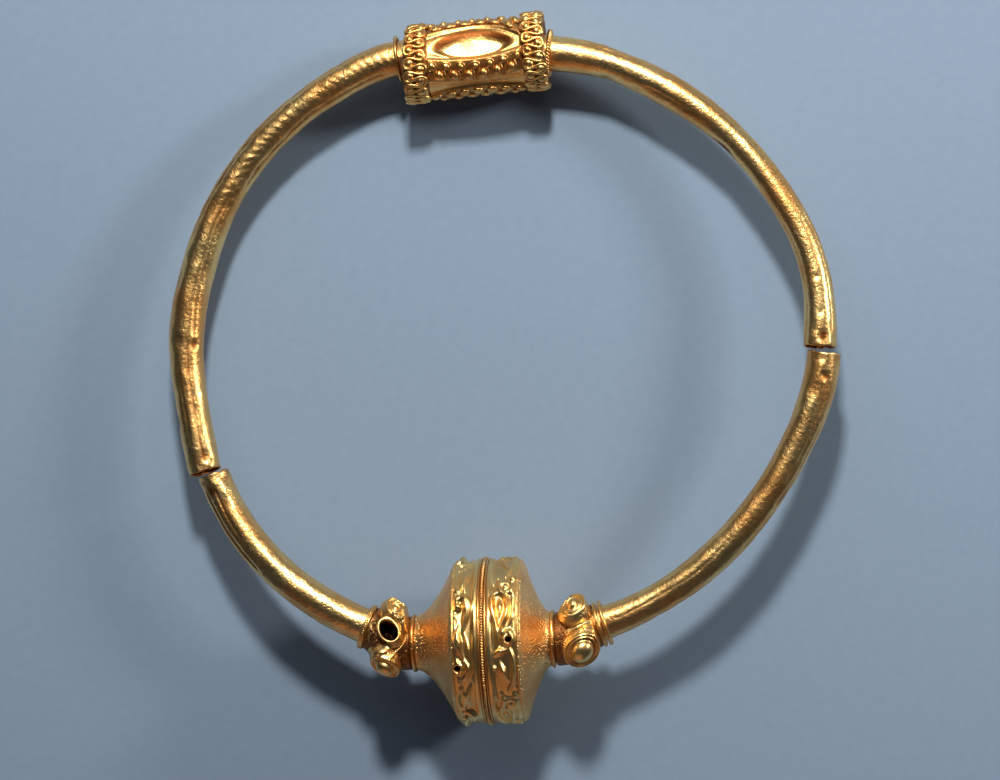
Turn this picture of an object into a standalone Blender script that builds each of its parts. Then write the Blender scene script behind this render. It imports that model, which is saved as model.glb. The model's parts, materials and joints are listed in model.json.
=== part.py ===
"""Gold torc, lying flat.

The hoop is a sheet-gold tube in four bent lengths.  A loose muff with beaded ends covers the
joint at the back.  At the front two buffers meet face to face, with a beaded wire round their
seam, and a collar with eye bosses joins each buffer to the hoop.

Units are metres.  X runs left to right, Y from the buffers to the muff, Z up from the floor.
Angles round the hoop are in degrees from the back, clockwise seen from above.
Angles round a buffer, collar or the muff are in degrees from its top, towards the front.
"""

import math

import bmesh
import bpy
from mathutils import Vector

# Hoop: the tube's centre line is a blunt oval, bent and dented out of true
HOOP_HALF_WIDTH = 0.0939
HOOP_HALF_DEPTH = 0.0872
OVAL_POWER = 2.1
HOOP_WARP = 0.0038
TUBE_RADIUS = 0.0054
TUBE_SIDES = 12
TUBE_RING_SPACING = 0.0080
BREAK_GAP = 0.0013

# Bends of each length of tube: angle round the hoop, and how far it stands outside the oval
RIGHT_BACK_BENDS = (
    (-5.7, -0.0010), (16, 0.0007), (30, -0.0004), (44, -0.0011),
    (58, -0.00125), (76, -0.00005), (91.2, -0.0010),
)
RIGHT_FRONT_BENDS = (
    (91.2, 0.0005), (97, -0.0004), (104, -0.0018), (112, -0.0032),
    (125, -0.00405), (142, -0.0031), (161.3, -0.0012),
)
LEFT_FRONT_BENDS = ((204.7, 0.0034), (216, 0.0033), (227, 0.0031), (238, 0.0024), (246.4, 0.0015))
LEFT_BACK_BENDS = (
    (246.4, 0.0037), (252, 0.0024), (260, 0.0017), (270, 0.00225), (284, 0.00145),
    (302, 0.00195), (324, 0.0027), (336, 0.0034), (340, 0.0027), (354.3, -0.0010),
)

# How thick each length is: angle round the hoop, and the tube's radius, which is full in its sockets
RIGHT_BACK_RADII = (
    (-5.7, TUBE_RADIUS), (14, TUBE_RADIUS), (22, 0.0049), (32, 0.0051),
    (50, 0.0044), (80, 0.0046), (91.2, 0.0053),
)
RIGHT_FRONT_RADII = (
    (91.2, TUBE_RADIUS), (102, 0.0052), (115, 0.0049), (135, 0.0050), (150, 0.0047), (161.3, TUBE_RADIUS),
)
LEFT_FRONT_RADII = ((204.7, TUBE_RADIUS), (216, TUBE_RADIUS), (230, 0.0052), (246.4, 0.0050))
LEFT_BACK_RADII = (
    (246.4, 0.0053), (258, 0.0051), (272, 0.0055), (290, 0.0053), (303, 0.0050),
    (320, 0.0051), (332, TUBE_RADIUS), (354.3, TUBE_RADIUS),
)

# Buffers: two flared drums, face to face, on an axis that swings a little across the hoop
SEAM_X = -0.0037
BUFFER_DROP = 0.0002
BUFFER_SWING = 2.3
BUFFER_RADIUS = 0.0249
LEFT_BUFFER_LENGTH = 0.0213
RIGHT_BUFFER_LENGTH = 0.0183
LEFT_RIM_WIDTH = 0.0083
RIGHT_RIM_WIDTH = 0.0099
BEVEL_RUN = 0.0012
BEVEL_DROP = 0.0022
CONE_FLARE = 1.7
NECK_RADIUS = 0.0080
SEAM_WIRE_RADIUS = 0.0009

# Relief round each rim: a pierced boss and a pointed swelling, repeated
RIM_REPEATS = 8
RELIEF_DEPTH = 0.0012
BOSS_RADIUS = 0.0021
LEFT_FIRST_BOSS = 12.5
RIGHT_FIRST_BOSS = -6
RIM_BOSS_INSET = 0.0019
WORN_ANGLE = 14

# Collars between the buffers and the hoop, each with eye bosses round it
COLLAR_RADIUS = 0.0084
CUFF_WALL = 0.0009
SOCKET_DEPTH = 0.0030
EYE_RADIUS = 0.0052
EYE_HEIGHT = 0.0032
PUPIL_RADIUS = 0.0029
PUPIL_HEIGHT = 0.0014
LEFT_EYES = (-50, 44, 178)
LEFT_EYE_SHARE = 0.42
RIGHT_EYES = (-47, 27, 160)
RIGHT_EYE_SHARE = 0.50
LOST_EYE = -20
LOST_EYE_RADIUS = 0.0024
LOST_EYE_DEPTH = 0.0048

# Muff over the joint at the back
MUFF_ANGLE = -5.7
MUFF_INSET = 0.0012
MUFF_LENGTH = 0.0427
MUFF_WALL = 0.0029
ROW_ANGLES = (-67, 28, 84, 179, 236)
ROW_BOWS = (-14, 10, -13, 6, 0)
BOW_SHARE = 0.45
ROW_WIDTH = 0.0034
ROW_HEIGHT = 0.0014
PANEL_DISH = 0.0014
END_WIDTH = 0.0074
END_HEIGHT = 0.0026
END_BEADS = 18
END_BEAD_DEPTH = 0.0008

# Fits, wires and the small flats that the torc lies on
CLEARANCE = 0.0003
REST_CUT = 0.0002
WIRE_RADIUS = 0.00055
ROPE_RADIUS = 0.00085

UP = Vector((0, 0, 1))
BODY_RADIUS = TUBE_RADIUS + CLEARANCE + MUFF_INSET + MUFF_WALL
BACK_AXIS_HEIGHT = BODY_RADIUS + END_HEIGHT - REST_CUT
FRONT_AXIS_HEIGHT = BUFFER_RADIUS - REST_CUT
CUFF_RADIUS = TUBE_RADIUS + CLEARANCE + CUFF_WALL
SPIGOT_RADIUS = NECK_RADIUS - WIRE_RADIUS - CLEARANCE


def smooth(low, high, x):
    """0 below low, 1 above high, and a soft step between them."""
    t = min(max((x - low) / (high - low), 0.0), 1.0)
    return t * t * (3 - 2 * t)


def boss(distance, radius, height):
    """A soft round boss's height at a distance from its middle."""
    return height * (1 - smooth(0, radius, distance))


# Bodies


def gold(name, colour, roughness):
    """A burnished metal."""
    material = bpy.data.materials.new(name)
    material.use_nodes = True
    shader = material.node_tree.nodes["Principled BSDF"]
    shader.inputs["Base Color"].default_value = (*colour, 1)
    shader.inputs["Metallic"].default_value = 1.0
    shader.inputs["Roughness"].default_value = roughness
    return material


def new_object(name, bm, material):
    """Turns a closed bmesh into a smooth-shaded object with its faces pointing outwards."""
    bmesh.ops.recalc_face_normals(bm, faces=bm.faces)
    mesh = bpy.data.meshes.new(name)
    bm.to_mesh(mesh)
    bm.free()
    mesh.materials.append(material)
    mesh.shade_smooth()
    mesh.set_sharp_from_angle(angle=math.radians(40))
    obj = bpy.data.objects.new(name, mesh)
    bpy.context.scene.collection.objects.link(obj)
    return obj


def ring(centre, along, angles, radii):
    """Points round an axis, at angles from its top that turn to the front when it points right."""
    along = along.normalized()
    top = (UP - along * UP.dot(along)).normalized()
    side = along.cross(top)
    return [
        centre + (top * math.cos(math.radians(a)) + side * math.sin(math.radians(a))) * r
        for a, r in zip(angles, radii)
    ]


def even_angles(count):
    """Equal steps round a circle."""
    return [360 * k / count for k in range(count)]


def join_rings(bm, first, second):
    """Skins two rings of vertices, of which one may have twice as many as the other."""
    if len(first) < len(second):
        first, second = second, first
    n = len(first)
    if len(second) == n:
        for i in range(n):
            j = (i + 1) % n
            bm.faces.new((first[i], first[j], second[j], second[i]))
        return
    for k in range(len(second)):
        a, b, c = first[2 * k], first[2 * k + 1], first[(2 * k + 2) % n]
        d, e = second[k], second[(k + 1) % len(second)]
        bm.faces.new((a, b, d))
        bm.faces.new((b, e, d))
        bm.faces.new((b, c, e))


def skin(rings, closed_path=False):
    """A bmesh round a row of rings of points, with flat caps unless the row closes on itself."""
    bm = bmesh.new()
    loops = [[bm.verts.new(p) for p in points] for points in rings]
    for first, second in zip(loops, loops[1:]):
        join_rings(bm, first, second)
    if closed_path:
        join_rings(bm, loops[-1], loops[0])
    else:
        bm.faces.new(loops[0])
        bm.faces.new(loops[-1])
    return bm


def sweep(line, radii, sides):
    """A round bar along a line of points, with a radius at each."""
    rings = []
    for i, (p, radius) in enumerate(zip(line, radii)):
        along = line[min(i + 1, len(line) - 1)] - line[max(i - 1, 0)]
        rings.append(ring(p, along, even_angles(sides), [radius] * sides))
    return skin(rings)


def even_sweep(line, radius, sides):
    """A round bar of one thickness along a line of points."""
    return sweep(line, [radius] * len(line), sides)


def wire_ring(name, centre, along, ring_radius, wire_radius, material, around=16, sides=4):
    """A round wire bent into a ring about an axis."""
    along = along.normalized()
    rings = []
    for spoke in ring(Vector((0, 0, 0)), along, even_angles(around), [1.0] * around):
        section = []
        for k in range(sides):
            a = 2 * math.pi * k / sides
            out = ring_radius + wire_radius * math.cos(a)
            section.append(centre + spoke * out + along * (wire_radius * math.sin(a)))
        rings.append(section)
    return new_object(name, skin(rings, closed_path=True), material)


def cut(obj, bm, name):
    """Takes a closed shape out of an object."""
    cutter = new_object(name, bm, obj.data.materials[0])
    cutter.hide_render = True
    cutter.display_type = "WIRE"
    modifier = obj.modifiers.new(name, "BOOLEAN")
    modifier.operation = "DIFFERENCE"
    modifier.solver = "EXACT"
    modifier.object = cutter


def rest_flat(bm):
    """Cuts a body off flat where it meets the floor, at height 0."""
    made = bmesh.ops.bisect_plane(
        bm,
        geom=bm.verts[:] + bm.edges[:] + bm.faces[:],
        dist=1e-7,
        plane_co=(0, 0, 0),
        plane_no=(0, 0, -1),
        clear_outer=True,
    )
    edges = [e for e in made["geom_cut"] if isinstance(e, bmesh.types.BMEdge)]
    bmesh.ops.holes_fill(bm, edges=edges, sides=0)


# The hoop's line


def oval_radius(angle):
    """Distance from the hoop's middle to the true oval."""
    a = math.radians(angle)
    across = (abs(math.sin(a)) / HOOP_HALF_WIDTH) ** OVAL_POWER
    deep = (abs(math.cos(a)) / HOOP_HALF_DEPTH) ** OVAL_POWER
    return (across + deep) ** (-1 / OVAL_POWER)


def value_at(angle, knots):
    """A tube's bend or radius at an angle, on a smooth curve through its knots."""
    last = len(knots) - 1
    k = 0
    while k < last - 1 and angle > knots[k + 1][0]:
        k += 1
    (a0, y0), (a1, y1) = knots[k], knots[k + 1]
    before = knots[max(k - 1, 0)]
    after = knots[min(k + 2, last)]
    span = a1 - a0
    rise0 = span * (y1 - before[1]) / (a1 - before[0])
    rise1 = span * (after[1] - y0) / (after[0] - a0)
    t = min(max((angle - a0) / span, 0.0), 1.0)
    return (
        y0 * (1 + 2 * t) * (1 - t) ** 2
        + rise0 * t * (1 - t) ** 2
        + y1 * t * t * (3 - 2 * t)
        + rise1 * t * t * (t - 1)
    )


def hoop_point(angle, bends):
    """A point on a tube's centre line, which leans down from the buffers to the muff."""
    a = math.radians(angle)
    out = oval_radius(angle) + value_at(angle, bends)
    y = out * math.cos(a)
    share = (HOOP_HALF_DEPTH - y) / (2 * HOOP_HALF_DEPTH)
    height = BACK_AXIS_HEIGHT + (FRONT_AXIS_HEIGHT - BACK_AXIS_HEIGHT) * share
    return Vector((out * math.sin(a), y, height + HOOP_WARP * math.sin(a) ** 3))


def hoop_direction(angle, bends):
    """The way a tube runs, clockwise, at one of its angles."""
    step = 0.5
    ahead = hoop_point(min(angle + step, bends[-1][0]), bends)
    behind = hoop_point(max(angle - step, bends[0][0]), bends)
    return (ahead - behind).normalized()


def degrees_for(length):
    """The angle that a length of the hoop takes up, about."""
    return math.degrees(2 * length / (HOOP_HALF_WIDTH + HOOP_HALF_DEPTH))


def tube_line(bends, sizes, start_trim=0.0, end_trim=0.0):
    """Evenly spaced points along a length of tube, short of its ends by the trims, and their radii."""
    start = bends[0][0] + degrees_for(start_trim)
    end = bends[-1][0] - degrees_for(end_trim)
    fine = [hoop_point(start + (end - start) * k / 400, bends) for k in range(401)]
    runs = [0.0]
    for p, q in zip(fine, fine[1:]):
        runs.append(runs[-1] + (q - p).length)
    count = max(4, round(runs[-1] / TUBE_RING_SPACING))
    line = []
    radii = []
    k = 0
    for i in range(count + 1):
        target = runs[-1] * i / count
        while k < 399 and runs[k + 1] < target:
            k += 1
        t = min((target - runs[k]) / (runs[k + 1] - runs[k]), 1.0)
        line.append(fine[k].lerp(fine[k + 1], t))
        radii.append(value_at(start + (end - start) * (k + t) / 400, sizes))
    return line, radii


# Tubes


def tube(name, line, radii, material):
    """One bent length of the hoop."""
    return new_object(name, sweep(line, radii, TUBE_SIDES), material)


def socket_line(mouth, into):
    """The stretch of a tube that sits in its collar."""
    depth = SOCKET_DEPTH - CLEARANCE
    return [mouth + into * (depth * k / 2) for k in (1, 2)]


def make_tubes(material):
    """The four lengths: two meet inside the muff, and two stand in the collars."""
    half_break = BREAK_GAP / 2
    line, radii = tube_line(RIGHT_BACK_BENDS, RIGHT_BACK_RADII, half_break, half_break)
    tube("right_back_tube", line, radii, material)
    line, radii = tube_line(LEFT_BACK_BENDS, LEFT_BACK_RADII, half_break, half_break)
    tube("left_back_tube", line, radii, material)

    in_socket = [TUBE_RADIUS] * 2
    angle = RIGHT_FRONT_BENDS[-1][0]
    mouth = hoop_point(angle, RIGHT_FRONT_BENDS)
    foot = socket_line(mouth, hoop_direction(angle, RIGHT_FRONT_BENDS))
    line, radii = tube_line(RIGHT_FRONT_BENDS, RIGHT_FRONT_RADII, start_trim=half_break)
    tube("right_front_tube", line + foot, radii + in_socket, material)

    angle = LEFT_FRONT_BENDS[0][0]
    mouth = hoop_point(angle, LEFT_FRONT_BENDS)
    foot = socket_line(mouth, -hoop_direction(angle, LEFT_FRONT_BENDS))
    line, radii = tube_line(LEFT_FRONT_BENDS, LEFT_FRONT_RADII, end_trim=half_break)
    tube("left_front_tube", foot[::-1] + line, in_socket + radii, material)


# Buffers

SEAM = Vector((SEAM_X, -HOOP_HALF_DEPTH - BUFFER_DROP, FRONT_AXIS_HEIGHT))
BUFFER_AXIS = Vector((math.cos(math.radians(BUFFER_SWING)), math.sin(math.radians(BUFFER_SWING)), 0))


def drum_radius(u, rim_width, length):
    """A buffer's radius at a distance from the seam, over the relief's floor."""
    cone_start = rim_width + BEVEL_RUN
    if u <= rim_width:
        return BUFFER_RADIUS - RELIEF_DEPTH
    t = (u - cone_start) / (length - cone_start)
    top = BUFFER_RADIUS - BEVEL_DROP
    return NECK_RADIUS + (top - NECK_RADIUS) * (1 - max(t, 0.0)) ** CONE_FLARE


def rim_relief(u, turn, rim_width):
    """Height of a rim's relief at a distance from the seam and an angle past a boss."""
    cell = 2 * math.pi * BUFFER_RADIUS / RIM_REPEATS
    v = cell * (turn * RIM_REPEATS / 360 % 1)
    boss_u = rim_width - RIM_BOSS_INSET
    to_boss = math.hypot(u - boss_u, min(v, cell - v))
    along = (v / cell - 0.52) / 0.42
    across = (u - 0.48 * rim_width) / (0.46 * rim_width * (1.0 - 0.3 * along))
    swelling = 0.9 * RELIEF_DEPTH * max(0.0, 1 - along * along - across * across)
    return max(boss(to_boss, 1.2 * BOSS_RADIUS, RELIEF_DEPTH), swelling)


def rim_angles(first_boss):
    """Angles round a rim, closest together over its bosses."""
    beside = math.degrees(BOSS_RADIUS / BUFFER_RADIUS)
    pitch = 360 / RIM_REPEATS
    gap = (pitch - 2 * beside) / 5
    steps = [0, beside / 2, beside] + [beside + gap * k for k in range(1, 5)] + [pitch - beside, pitch - beside / 2]
    return [first_boss + pitch * k + step for k in range(RIM_REPEATS) for step in steps]


def buffer(name, outward, length, rim_width, first_boss, material):
    """One buffer, from its face at the seam to the spigot that enters its collar's wire."""
    angles = rim_angles(first_boss)
    groove = SEAM_WIRE_RADIUS + CLEARANCE
    boss_u = rim_width - RIM_BOSS_INSET
    rings = []

    def add(u, radius, relief=False):
        radii = [radius] * len(angles)
        if relief:
            worn = [smooth(2 * WORN_ANGLE, WORN_ANGLE, abs(a % 360 - 180)) for a in angles]
            raised = [rim_relief(u, a - first_boss, rim_width) for a in angles]
            radii = [radius + h * (1 - w) + RELIEF_DEPTH * w for h, w in zip(raised, worn)]
        rings.append(ring(SEAM + outward * u, BUFFER_AXIS, angles, radii))

    def add_coarse(u, radius):
        rings.append(ring(SEAM + outward * u, BUFFER_AXIS, angles[::2], [radius] * (len(angles) // 2)))

    for u in (CLEARANCE / 2, groove):
        add_coarse(u, BUFFER_RADIUS - REST_CUT - 2 * SEAM_WIRE_RADIUS - CLEARANCE)
    add(groove, BUFFER_RADIUS - RELIEF_DEPTH / 2)
    floor = BUFFER_RADIUS - RELIEF_DEPTH
    near_rows = [groove + (boss_u - BOSS_RADIUS - groove) * share for share in (0.25, 0.6)]
    boss_rows = [boss_u + BOSS_RADIUS * share for share in (-1, -0.5, 0, 0.5)]
    for u in near_rows + boss_rows:
        add(u, floor, relief=True)
    add(rim_width, BUFFER_RADIUS)
    for share in (0.0, 0.2, 0.55, 1.0):
        start = rim_width + BEVEL_RUN
        u = start + (length - start) * share
        add_coarse(u, drum_radius(u, rim_width, length))
    add_coarse(length, SPIGOT_RADIUS)
    add_coarse(length + 2 * WIRE_RADIUS + CLEARANCE, SPIGOT_RADIUS)
    bm = skin(rings)
    rest_flat(bm)
    return new_object(name, bm, material)


def make_buffers(material, wire_material):
    """Both buffers, the wire round their seam and the wires round their necks."""
    buffer("left_buffer", -BUFFER_AXIS, LEFT_BUFFER_LENGTH, LEFT_RIM_WIDTH, LEFT_FIRST_BOSS, material)
    buffer("right_buffer", BUFFER_AXIS, RIGHT_BUFFER_LENGTH, RIGHT_RIM_WIDTH, RIGHT_FIRST_BOSS, material)
    seam_ring = BUFFER_RADIUS - REST_CUT - SEAM_WIRE_RADIUS
    wire_ring("seam_wire", SEAM, BUFFER_AXIS, seam_ring, SEAM_WIRE_RADIUS, wire_material, around=36)
    for name, outward, length in (
        ("left_neck_wire", -BUFFER_AXIS, LEFT_BUFFER_LENGTH),
        ("right_neck_wire", BUFFER_AXIS, RIGHT_BUFFER_LENGTH),
    ):
        place = SEAM + outward * (length + WIRE_RADIUS + CLEARANCE / 2)
        wire_ring(name, place, BUFFER_AXIS, NECK_RADIUS, WIRE_RADIUS, wire_material)


# Collars


def collar_line(outward, length, mouth, mouth_direction, rows):
    """Points and directions from a buffer's neck to the tube, on one easy curve."""
    start = SEAM + outward * (length + 2 * WIRE_RADIUS + 2 * CLEARANCE)
    reach = (mouth - start).length
    points = []
    directions = []
    for k in range(rows + 1):
        t = k / rows
        points.append(
            start * ((1 + 2 * t) * (1 - t) ** 2)
            + outward * (reach * t * (1 - t) ** 2)
            + mouth * (t * t * (3 - 2 * t))
            + mouth_direction * (reach * t * t * (t - 1))
        )
        directions.append(outward.lerp(mouth_direction, smooth(0, 1, t)).normalized())
    return points, directions


def collar_radius(share, angle, eyes, eye_share, reach):
    """A collar's radius, with its eye bosses, at a share of its length and an angle round it."""
    ends = NECK_RADIUS + (CUFF_RADIUS - NECK_RADIUS) * smooth(0.72, 0.98, share)
    body = COLLAR_RADIUS - NECK_RADIUS
    radius = ends + body * math.sin(math.pi * min(share / 0.8, 1.0))
    height = 0.0
    for eye in eyes:
        around = math.radians((angle - eye + 180) % 360 - 180) * COLLAR_RADIUS
        distance = math.hypot((share - eye_share) * reach, around)
        mound = EYE_HEIGHT * smooth(EYE_RADIUS, EYE_RADIUS * 0.55, distance)
        height = max(height, mound + boss(distance, PUPIL_RADIUS, PUPIL_HEIGHT))
    return radius + height


def collar(name, outward, length, mouth, into_tube, eyes, eye_share, material):
    """One collar: a sleeve with eye bosses, and a socket for the tube."""
    rows = 10
    angles = even_angles(30)
    points, directions = collar_line(outward, length, mouth, into_tube, rows)
    reach = (mouth - points[0]).length
    turn = 1 if outward.x > 0 else -1
    rings = []
    for k, (p, d) in enumerate(zip(points, directions)):
        radii = [collar_radius(k / rows, a, eyes, eye_share, reach) for a in angles]
        rings.append(ring(p, d * turn, angles, radii))
    obj = new_object(name, skin(rings), material)
    line = [mouth + into_tube * step for step in (-SOCKET_DEPTH, 0.0, SOCKET_DEPTH)]
    cut(obj, even_sweep(line, TUBE_RADIUS + CLEARANCE, 2 * TUBE_SIDES), name + "_socket")
    return obj, points, directions


def make_collars(material, wire_material):
    """Both collars, the pit of the lost boss on the left one, and the wires at their tube ends."""
    angle = RIGHT_FRONT_BENDS[-1][0]
    mouth = hoop_point(angle, RIGHT_FRONT_BENDS)
    away = -hoop_direction(angle, RIGHT_FRONT_BENDS)
    collar(
        "right_collar", BUFFER_AXIS, RIGHT_BUFFER_LENGTH, mouth, away, RIGHT_EYES, RIGHT_EYE_SHARE, material
    )
    ring_radius = TUBE_RADIUS + CLEARANCE + WIRE_RADIUS
    for k, name in enumerate(("right_cuff_wire_inner", "right_cuff_wire_outer")):
        place = mouth + away * (CLEARANCE + WIRE_RADIUS + k * (2 * WIRE_RADIUS + 2 * CLEARANCE))
        wire_ring(name, place, away, ring_radius, WIRE_RADIUS, wire_material)

    angle = LEFT_FRONT_BENDS[0][0]
    mouth = hoop_point(angle, LEFT_FRONT_BENDS)
    away = hoop_direction(angle, LEFT_FRONT_BENDS)
    obj, points, directions = collar(
        "left_collar", -BUFFER_AXIS, LEFT_BUFFER_LENGTH, mouth, away, LEFT_EYES, LEFT_EYE_SHARE, material
    )
    place = mouth + away * (CLEARANCE + ROPE_RADIUS)
    wire_ring("left_cuff_wire", place, away, TUBE_RADIUS + CLEARANCE + ROPE_RADIUS, ROPE_RADIUS, wire_material)

    row = 4
    spoke = ring(Vector((0, 0, 0)), -directions[row], [LOST_EYE], [1.0])[0]
    surface = points[row] + spoke * COLLAR_RADIUS
    line = [surface + spoke * step for step in (-LOST_EYE_DEPTH, 0.0, LOST_EYE_DEPTH)]
    cut(obj, even_sweep(line, LOST_EYE_RADIUS, 14), "lost_eye_pit")


# Muff


def between_beads(along, angle):
    """How deep the dip between an end ring's beads is; its two rows of beads are staggered."""
    phase = math.radians(angle * END_BEADS) + (math.pi if along > 0.5 else 0)
    return END_BEAD_DEPTH * (1 - math.cos(phase)) / 2


def row_angle(k, share):
    """Angle round the muff of a row between panels, at a share of the way from its middle to its end."""
    return ROW_ANGLES[k] + ROW_BOWS[k] * (BOW_SHARE - share * share)


def make_muff(material, wire_material):
    """The sleeve over the joint, with dished panels between rows, and the wires at its mouths."""
    a = math.radians(MUFF_ANGLE)
    out = oval_radius(MUFF_ANGLE) - MUFF_INSET
    middle = Vector((out * math.sin(a), out * math.cos(a), BACK_AXIS_HEIGHT))
    axis = Vector((math.cos(a), -math.sin(a), 0))
    half = MUFF_LENGTH / 2
    shoulder = half - END_WIDTH
    fine = even_angles(4 * END_BEADS)
    coarse = fine[::2]
    rings = []

    def add_end_ring(x, along):
        radii = []
        for angle in fine:
            shown = smooth(WORN_ANGLE, 2 * WORN_ANGLE, abs(angle - 180))
            crest = END_HEIGHT * math.sin(math.pi * along) ** 0.2
            radii.append(BODY_RADIUS + crest - shown * between_beads(along, angle))
        rings.append(ring(middle + axis * x, axis, fine, radii))

    def add_body_ring(x):
        dish = math.cos(math.pi * x / (2 * shoulder))
        rows = [row_angle(k, x / shoulder) for k in range(len(ROW_ANGLES))]
        radii = []
        for angle in coarse:
            to_row = min(math.radians(abs((angle - row + 180) % 360 - 180)) for row in rows) * BODY_RADIUS
            row = ROW_HEIGHT * smooth(ROW_WIDTH, 0.5 * ROW_WIDTH, to_row)
            panel = PANEL_DISH * smooth(0.8 * ROW_WIDTH, 1.8 * ROW_WIDTH, to_row) * dish
            radii.append(BODY_RADIUS + row - panel)
        rings.append(ring(middle + axis * x, axis, coarse, radii))

    along_steps = (0.06, 0.27, 0.73, 0.94)
    for along in along_steps:
        add_end_ring(-half + END_WIDTH * along, along)
    for k in range(5):
        add_body_ring(shoulder * (k / 2 - 1))
    for along in along_steps[::-1]:
        add_end_ring(half - END_WIDTH * along, along)
    bm = skin(rings)
    rest_flat(bm)
    obj = new_object("muff", bm, material)

    reach = degrees_for(MUFF_LENGTH) * 0.8
    joint = LEFT_BACK_BENDS[-1][0]
    first = [hoop_point(joint - reach * (1 - k / 6), LEFT_BACK_BENDS) for k in range(6)]
    second = [hoop_point(MUFF_ANGLE + reach * k / 6, RIGHT_BACK_BENDS) for k in range(7)]
    cut(obj, even_sweep(first + second, TUBE_RADIUS + CLEARANCE, TUBE_SIDES), "muff_bore")

    for name, bends, start, step in (
        ("muff_left_wire", LEFT_BACK_BENDS, joint, -1),
        ("muff_right_wire", RIGHT_BACK_BENDS, MUFF_ANGLE, 1),
    ):
        angle = start
        stand_off = half + CLEARANCE + 2 * ROPE_RADIUS
        while abs((hoop_point(angle, bends) - middle).dot(axis)) < stand_off:
            angle += 0.1 * step
        place = hoop_point(angle, bends)
        ring_radius = TUBE_RADIUS + CLEARANCE + ROPE_RADIUS
        wire_ring(name, place, hoop_direction(angle, bends), ring_radius, ROPE_RADIUS, wire_material)


def centre_on_origin():
    """Moves the whole torc so that its box stands with the middle of its underside at the origin."""
    corners = []
    for obj in bpy.data.objects:
        if not obj.hide_render:
            corners.extend(v.co for v in obj.data.vertices)
    middle = [(min(c[i] for c in corners) + max(c[i] for c in corners)) / 2 for i in (0, 1)]
    lowest = min(c.z for c in corners)
    for obj in bpy.data.objects:
        obj.location = (-middle[0], -middle[1], -lowest)


for old in list(bpy.data.objects):
    bpy.data.objects.remove(old)

tube_gold = gold("tube_gold", (0.86, 0.62, 0.26), 0.34)
buffer_gold = gold("buffer_gold", (0.80, 0.52, 0.20), 0.38)
muff_gold = gold("muff_gold", (0.84, 0.60, 0.25), 0.32)
wire_gold = gold("wire_gold", (0.88, 0.66, 0.32), 0.30)

make_tubes(tube_gold)
make_buffers(buffer_gold, wire_gold)
make_collars(buffer_gold, wire_gold)
make_muff(muff_gold, wire_gold)
centre_on_origin()
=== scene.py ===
"""Dressed model of a gold torc that lies flat, in metres, X to the right, Y to the back, Z up."""

import json
import math

import bpy
import numpy as np
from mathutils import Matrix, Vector

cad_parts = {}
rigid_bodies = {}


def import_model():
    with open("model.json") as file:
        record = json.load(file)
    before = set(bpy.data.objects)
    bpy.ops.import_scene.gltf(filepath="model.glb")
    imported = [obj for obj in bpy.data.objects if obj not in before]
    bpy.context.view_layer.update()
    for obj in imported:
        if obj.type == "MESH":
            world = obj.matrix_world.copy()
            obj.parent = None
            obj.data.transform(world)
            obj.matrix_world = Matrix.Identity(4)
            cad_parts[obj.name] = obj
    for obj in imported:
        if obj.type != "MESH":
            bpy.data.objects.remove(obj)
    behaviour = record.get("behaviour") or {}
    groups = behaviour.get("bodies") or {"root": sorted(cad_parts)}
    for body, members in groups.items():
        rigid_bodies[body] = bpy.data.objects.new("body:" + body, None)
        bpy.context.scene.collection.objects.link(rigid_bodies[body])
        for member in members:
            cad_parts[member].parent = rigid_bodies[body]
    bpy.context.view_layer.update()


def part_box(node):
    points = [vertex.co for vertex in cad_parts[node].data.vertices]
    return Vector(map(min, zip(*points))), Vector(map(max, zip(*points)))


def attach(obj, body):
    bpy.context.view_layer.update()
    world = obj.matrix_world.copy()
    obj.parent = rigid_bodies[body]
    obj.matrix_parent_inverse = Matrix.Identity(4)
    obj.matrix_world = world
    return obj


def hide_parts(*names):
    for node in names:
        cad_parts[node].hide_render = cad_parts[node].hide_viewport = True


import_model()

mm = 0.001

# Tubes
# The hoop is sheet gold beaten round into a hollow tube about 11 mm thick.  It lies in four bent
# lengths: two meet inside the muff, and the joints at the left and right are old breaks with torn
# edges.  A lengthwise seam, hammer dints and sharp kinks show all round it.

HOOP_HALF_WIDTH = 93.9 * mm
HOOP_HALF_DEPTH = 87.2 * mm
OVAL_POWER = 2.1
HOOP_WARP = 3.8 * mm
TUBE_RADIUS = 5.4 * mm
SHEET = 0.45 * mm
CLEARANCE = 0.3 * mm
SOCKET_DEPTH = 3.0 * mm
BREAK_GAP = 1.3 * mm
BACK_AXIS_HEIGHT = 12.2 * mm
FRONT_AXIS_HEIGHT = 24.7 * mm
BUFFER_DROP = 0.2 * mm
SEAM_SIDEWAYS = -3.7 * mm
TUBE_COLUMNS = 92
TUBE_ROW = 0.55 * mm
HAMMER_FACE = 2.6 * mm
SKIN_INSET = 0.2 * mm
SKIN_ROOM = 0.1 * mm
TORN_LENGTH = 9 * mm
UP = np.array((0.0, 0.0, 1.0))

seam_corners = [np.array(corner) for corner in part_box("seam_wire")]
SEAM = (seam_corners[0] + seam_corners[1]) / 2
SEAM[2] = FRONT_AXIS_HEIGHT
HOOP_MIDDLE = SEAM - (SEAM_SIDEWAYS, -HOOP_HALF_DEPTH - BUFFER_DROP, FRONT_AXIS_HEIGHT)

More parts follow.
